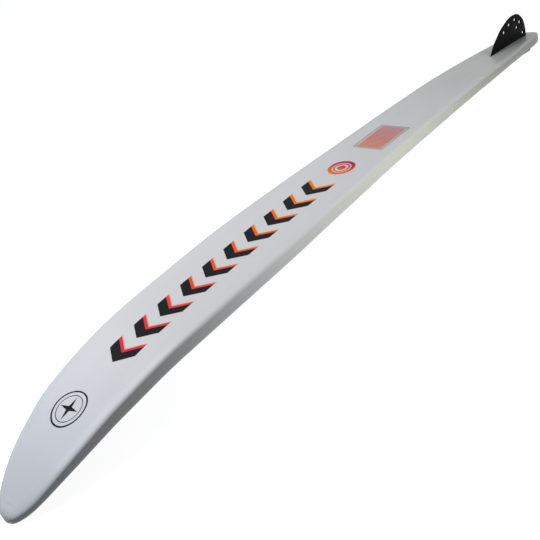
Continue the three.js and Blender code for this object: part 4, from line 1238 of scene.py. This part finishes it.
def layPrint(name, tree, values, ink, lift, level, outline=None):
    mesh = bpy.data.meshes.new(name)
    if outline:
        mesh.from_pydata([(-s * mm, y * mm, 0) for s, y in outline], [], [tuple(range(len(outline)))])
    shape = newShape(name, mesh)
    addRule(shape, tree, {**values, "Surface": bottomShell, "Level": level, "Lift": lift * mm,
                          "Film": film["thickness"] * mm, "Material": finishes[ink]})
    settle(shape, sharpAngle=30)
    attach(shape, "ski", "base_gelcoat")


def layChevrons():
    rowInputs = [("Count", "Int", 10), ("Start", "Vector"), ("Step", "Float", 0.058)]
    rowTree = filmRule("chevronRow", rowInputs, drawRow)
    lean, depth, half = chevrons["lean"], chevrons["depth"], chevrons["half"]
    outline = [(0, 0), (lean, half), (lean + depth, half), (depth, 0), (lean + depth, -half), (lean, -half)]
    for name, ink, shift, lift in chevrons["layers"]:
        start = (-(chevrons["start"] + shift) * mm, chevrons["centre"] * mm, 0)
        values = {"Count": chevrons["count"], "Start": start, "Step": chevrons["pitch"] * mm}
        layPrint(name, rowTree, values, ink, lift, chevrons["level"], outline)


def layFigure(name):
    spec = prints[name]
    s, y = spec["place"]
    sizes = {label: size * mm for label, size in spec["sizes"].items()}
    counts = spec.get("counts", {})
    inputs = [("Centre", "Vector"), *((label, "Float", size) for label, size in sizes.items()),
              *((label, "Int", count) for label, count in counts.items())]
    values = {"Centre": (-s * mm, y * mm, 0), **sizes, **counts}
    layPrint(name, filmRule(name, inputs, spec["draw"]), values, spec["ink"], film["lift"], spec["level"])


print("Printing the base")
layChevrons()
for figure in prints:
    layFigure(figure)

# Studio

studio = {
    "floorHeight": -0.0004, "floorSize": 14, "floorTint": (0.66, 0.665, 0.67, 1),
    "bounceTint": (0.18, 0.18, 0.18, 1), "floorGlow": 0.90,
    "worldTint": (0.96, 0.975, 1, 1), "worldLight": 0.13,
    "lamps": [
        {"name": "topLamp", "place": (0.66, -0.55, 1.2), "aim": (0.62, -0.1, 0.1), "size": (1.4, 0.9),
         "spread": 180, "power": 15.8, "tint": (0.985, 0.99, 1)},
        {"name": "sideLamp", "place": (-0.38, 1.35, 0.36), "aim": (-0.17, 0, 0.08), "size": (0.7, 0.5),
         "spread": 70, "power": 2.6, "tint": (1, 1, 0.985)},
    ],
}


def seenBy(tree, *rays):   # 1 for these kinds of ray
    path = addNode(tree, "ShaderNodeLightPath").outputs
    seen = path[f"Is {rays[-1]} Ray"]
    for ray in reversed(rays[:-1]):
        seen = calc(tree, "MAXIMUM", path[f"Is {ray} Ray"], seen)
    return seen


def makeFloor():
    mesh = bpy.data.meshes.new("studioFloor")
    half, height = studio["floorSize"] / 2, studio["floorHeight"]
    corners = [(-half, -half, height), (half, -half, height), (half, half, height), (-half, half, height)]
    mesh.from_pydata(corners, [], [(0, 1, 2, 3)])
    floor = newShape("studioFloor", mesh)
    material = bpy.data.materials.new("paleFloor")
    material.use_nodes = True
    tree = material.node_tree
    tree.nodes.clear()
    seen = seenBy(tree, "Camera", "Glossy")   # pale to the eye, but it lights the ski less
    matt = shade(tree, "BsdfDiffuse", {"Color": blend(tree, seen, studio["bounceTint"], studio["floorTint"])})
    strength = times(tree, seen, studio["floorGlow"])
    glow = shade(tree, "Emission", {"Color": (1, 1, 1, 1), "Strength": strength})
    both = shade(tree, "AddShader", {0: matt, 1: glow})
    underside = addNode(tree, "ShaderNodeNewGeometry").outputs["Backfacing"]   # clear, to show the deck
    clear = times(tree, underside, seenBy(tree, "Camera"))
    surface = shade(tree, "MixShader", {0: clear, 1: both, 2: shade(tree, "BsdfTransparent")})
    addNode(tree, "ShaderNodeOutputMaterial", {"Surface": surface})
    floor.data.materials.append(material)


def makeWorld():
    world = bpy.data.worlds.new("paleRoom")
    world.use_nodes = True
    tree = world.node_tree
    seen = seenBy(tree, "Camera", "Glossy", "Transmission")
    ground = tree.nodes["Background"].inputs
    ground["Color"].default_value = studio["worldTint"]
    faint = studio["worldLight"]
    connect(tree, ground, {"Strength": timesPlus(tree, seen, 1 - faint, faint)})
    bpy.context.scene.world = world


def makeLamp(lamp):
    light = bpy.data.lights.new(lamp["name"], "AREA")
    light.shape = "RECTANGLE"
    light.size, light.size_y = lamp["size"]
    light.energy, light.color, light.spread = lamp["power"], lamp["tint"], math.radians(lamp["spread"])
    holder = bpy.data.objects.new(lamp["name"], light)
    bpy.context.scene.collection.objects.link(holder)
    holder.location = lamp["place"]
    holder.rotation_euler = (Vector(lamp["aim"]) - Vector(lamp["place"])).to_track_quat("-Z", "Y").to_euler()


print("Setting up the studio")
makeFloor()
makeWorld()
for lamp in studio["lamps"]:
    makeLamp(lamp)
bpy.context.scene.view_settings.view_transform = "Standard"
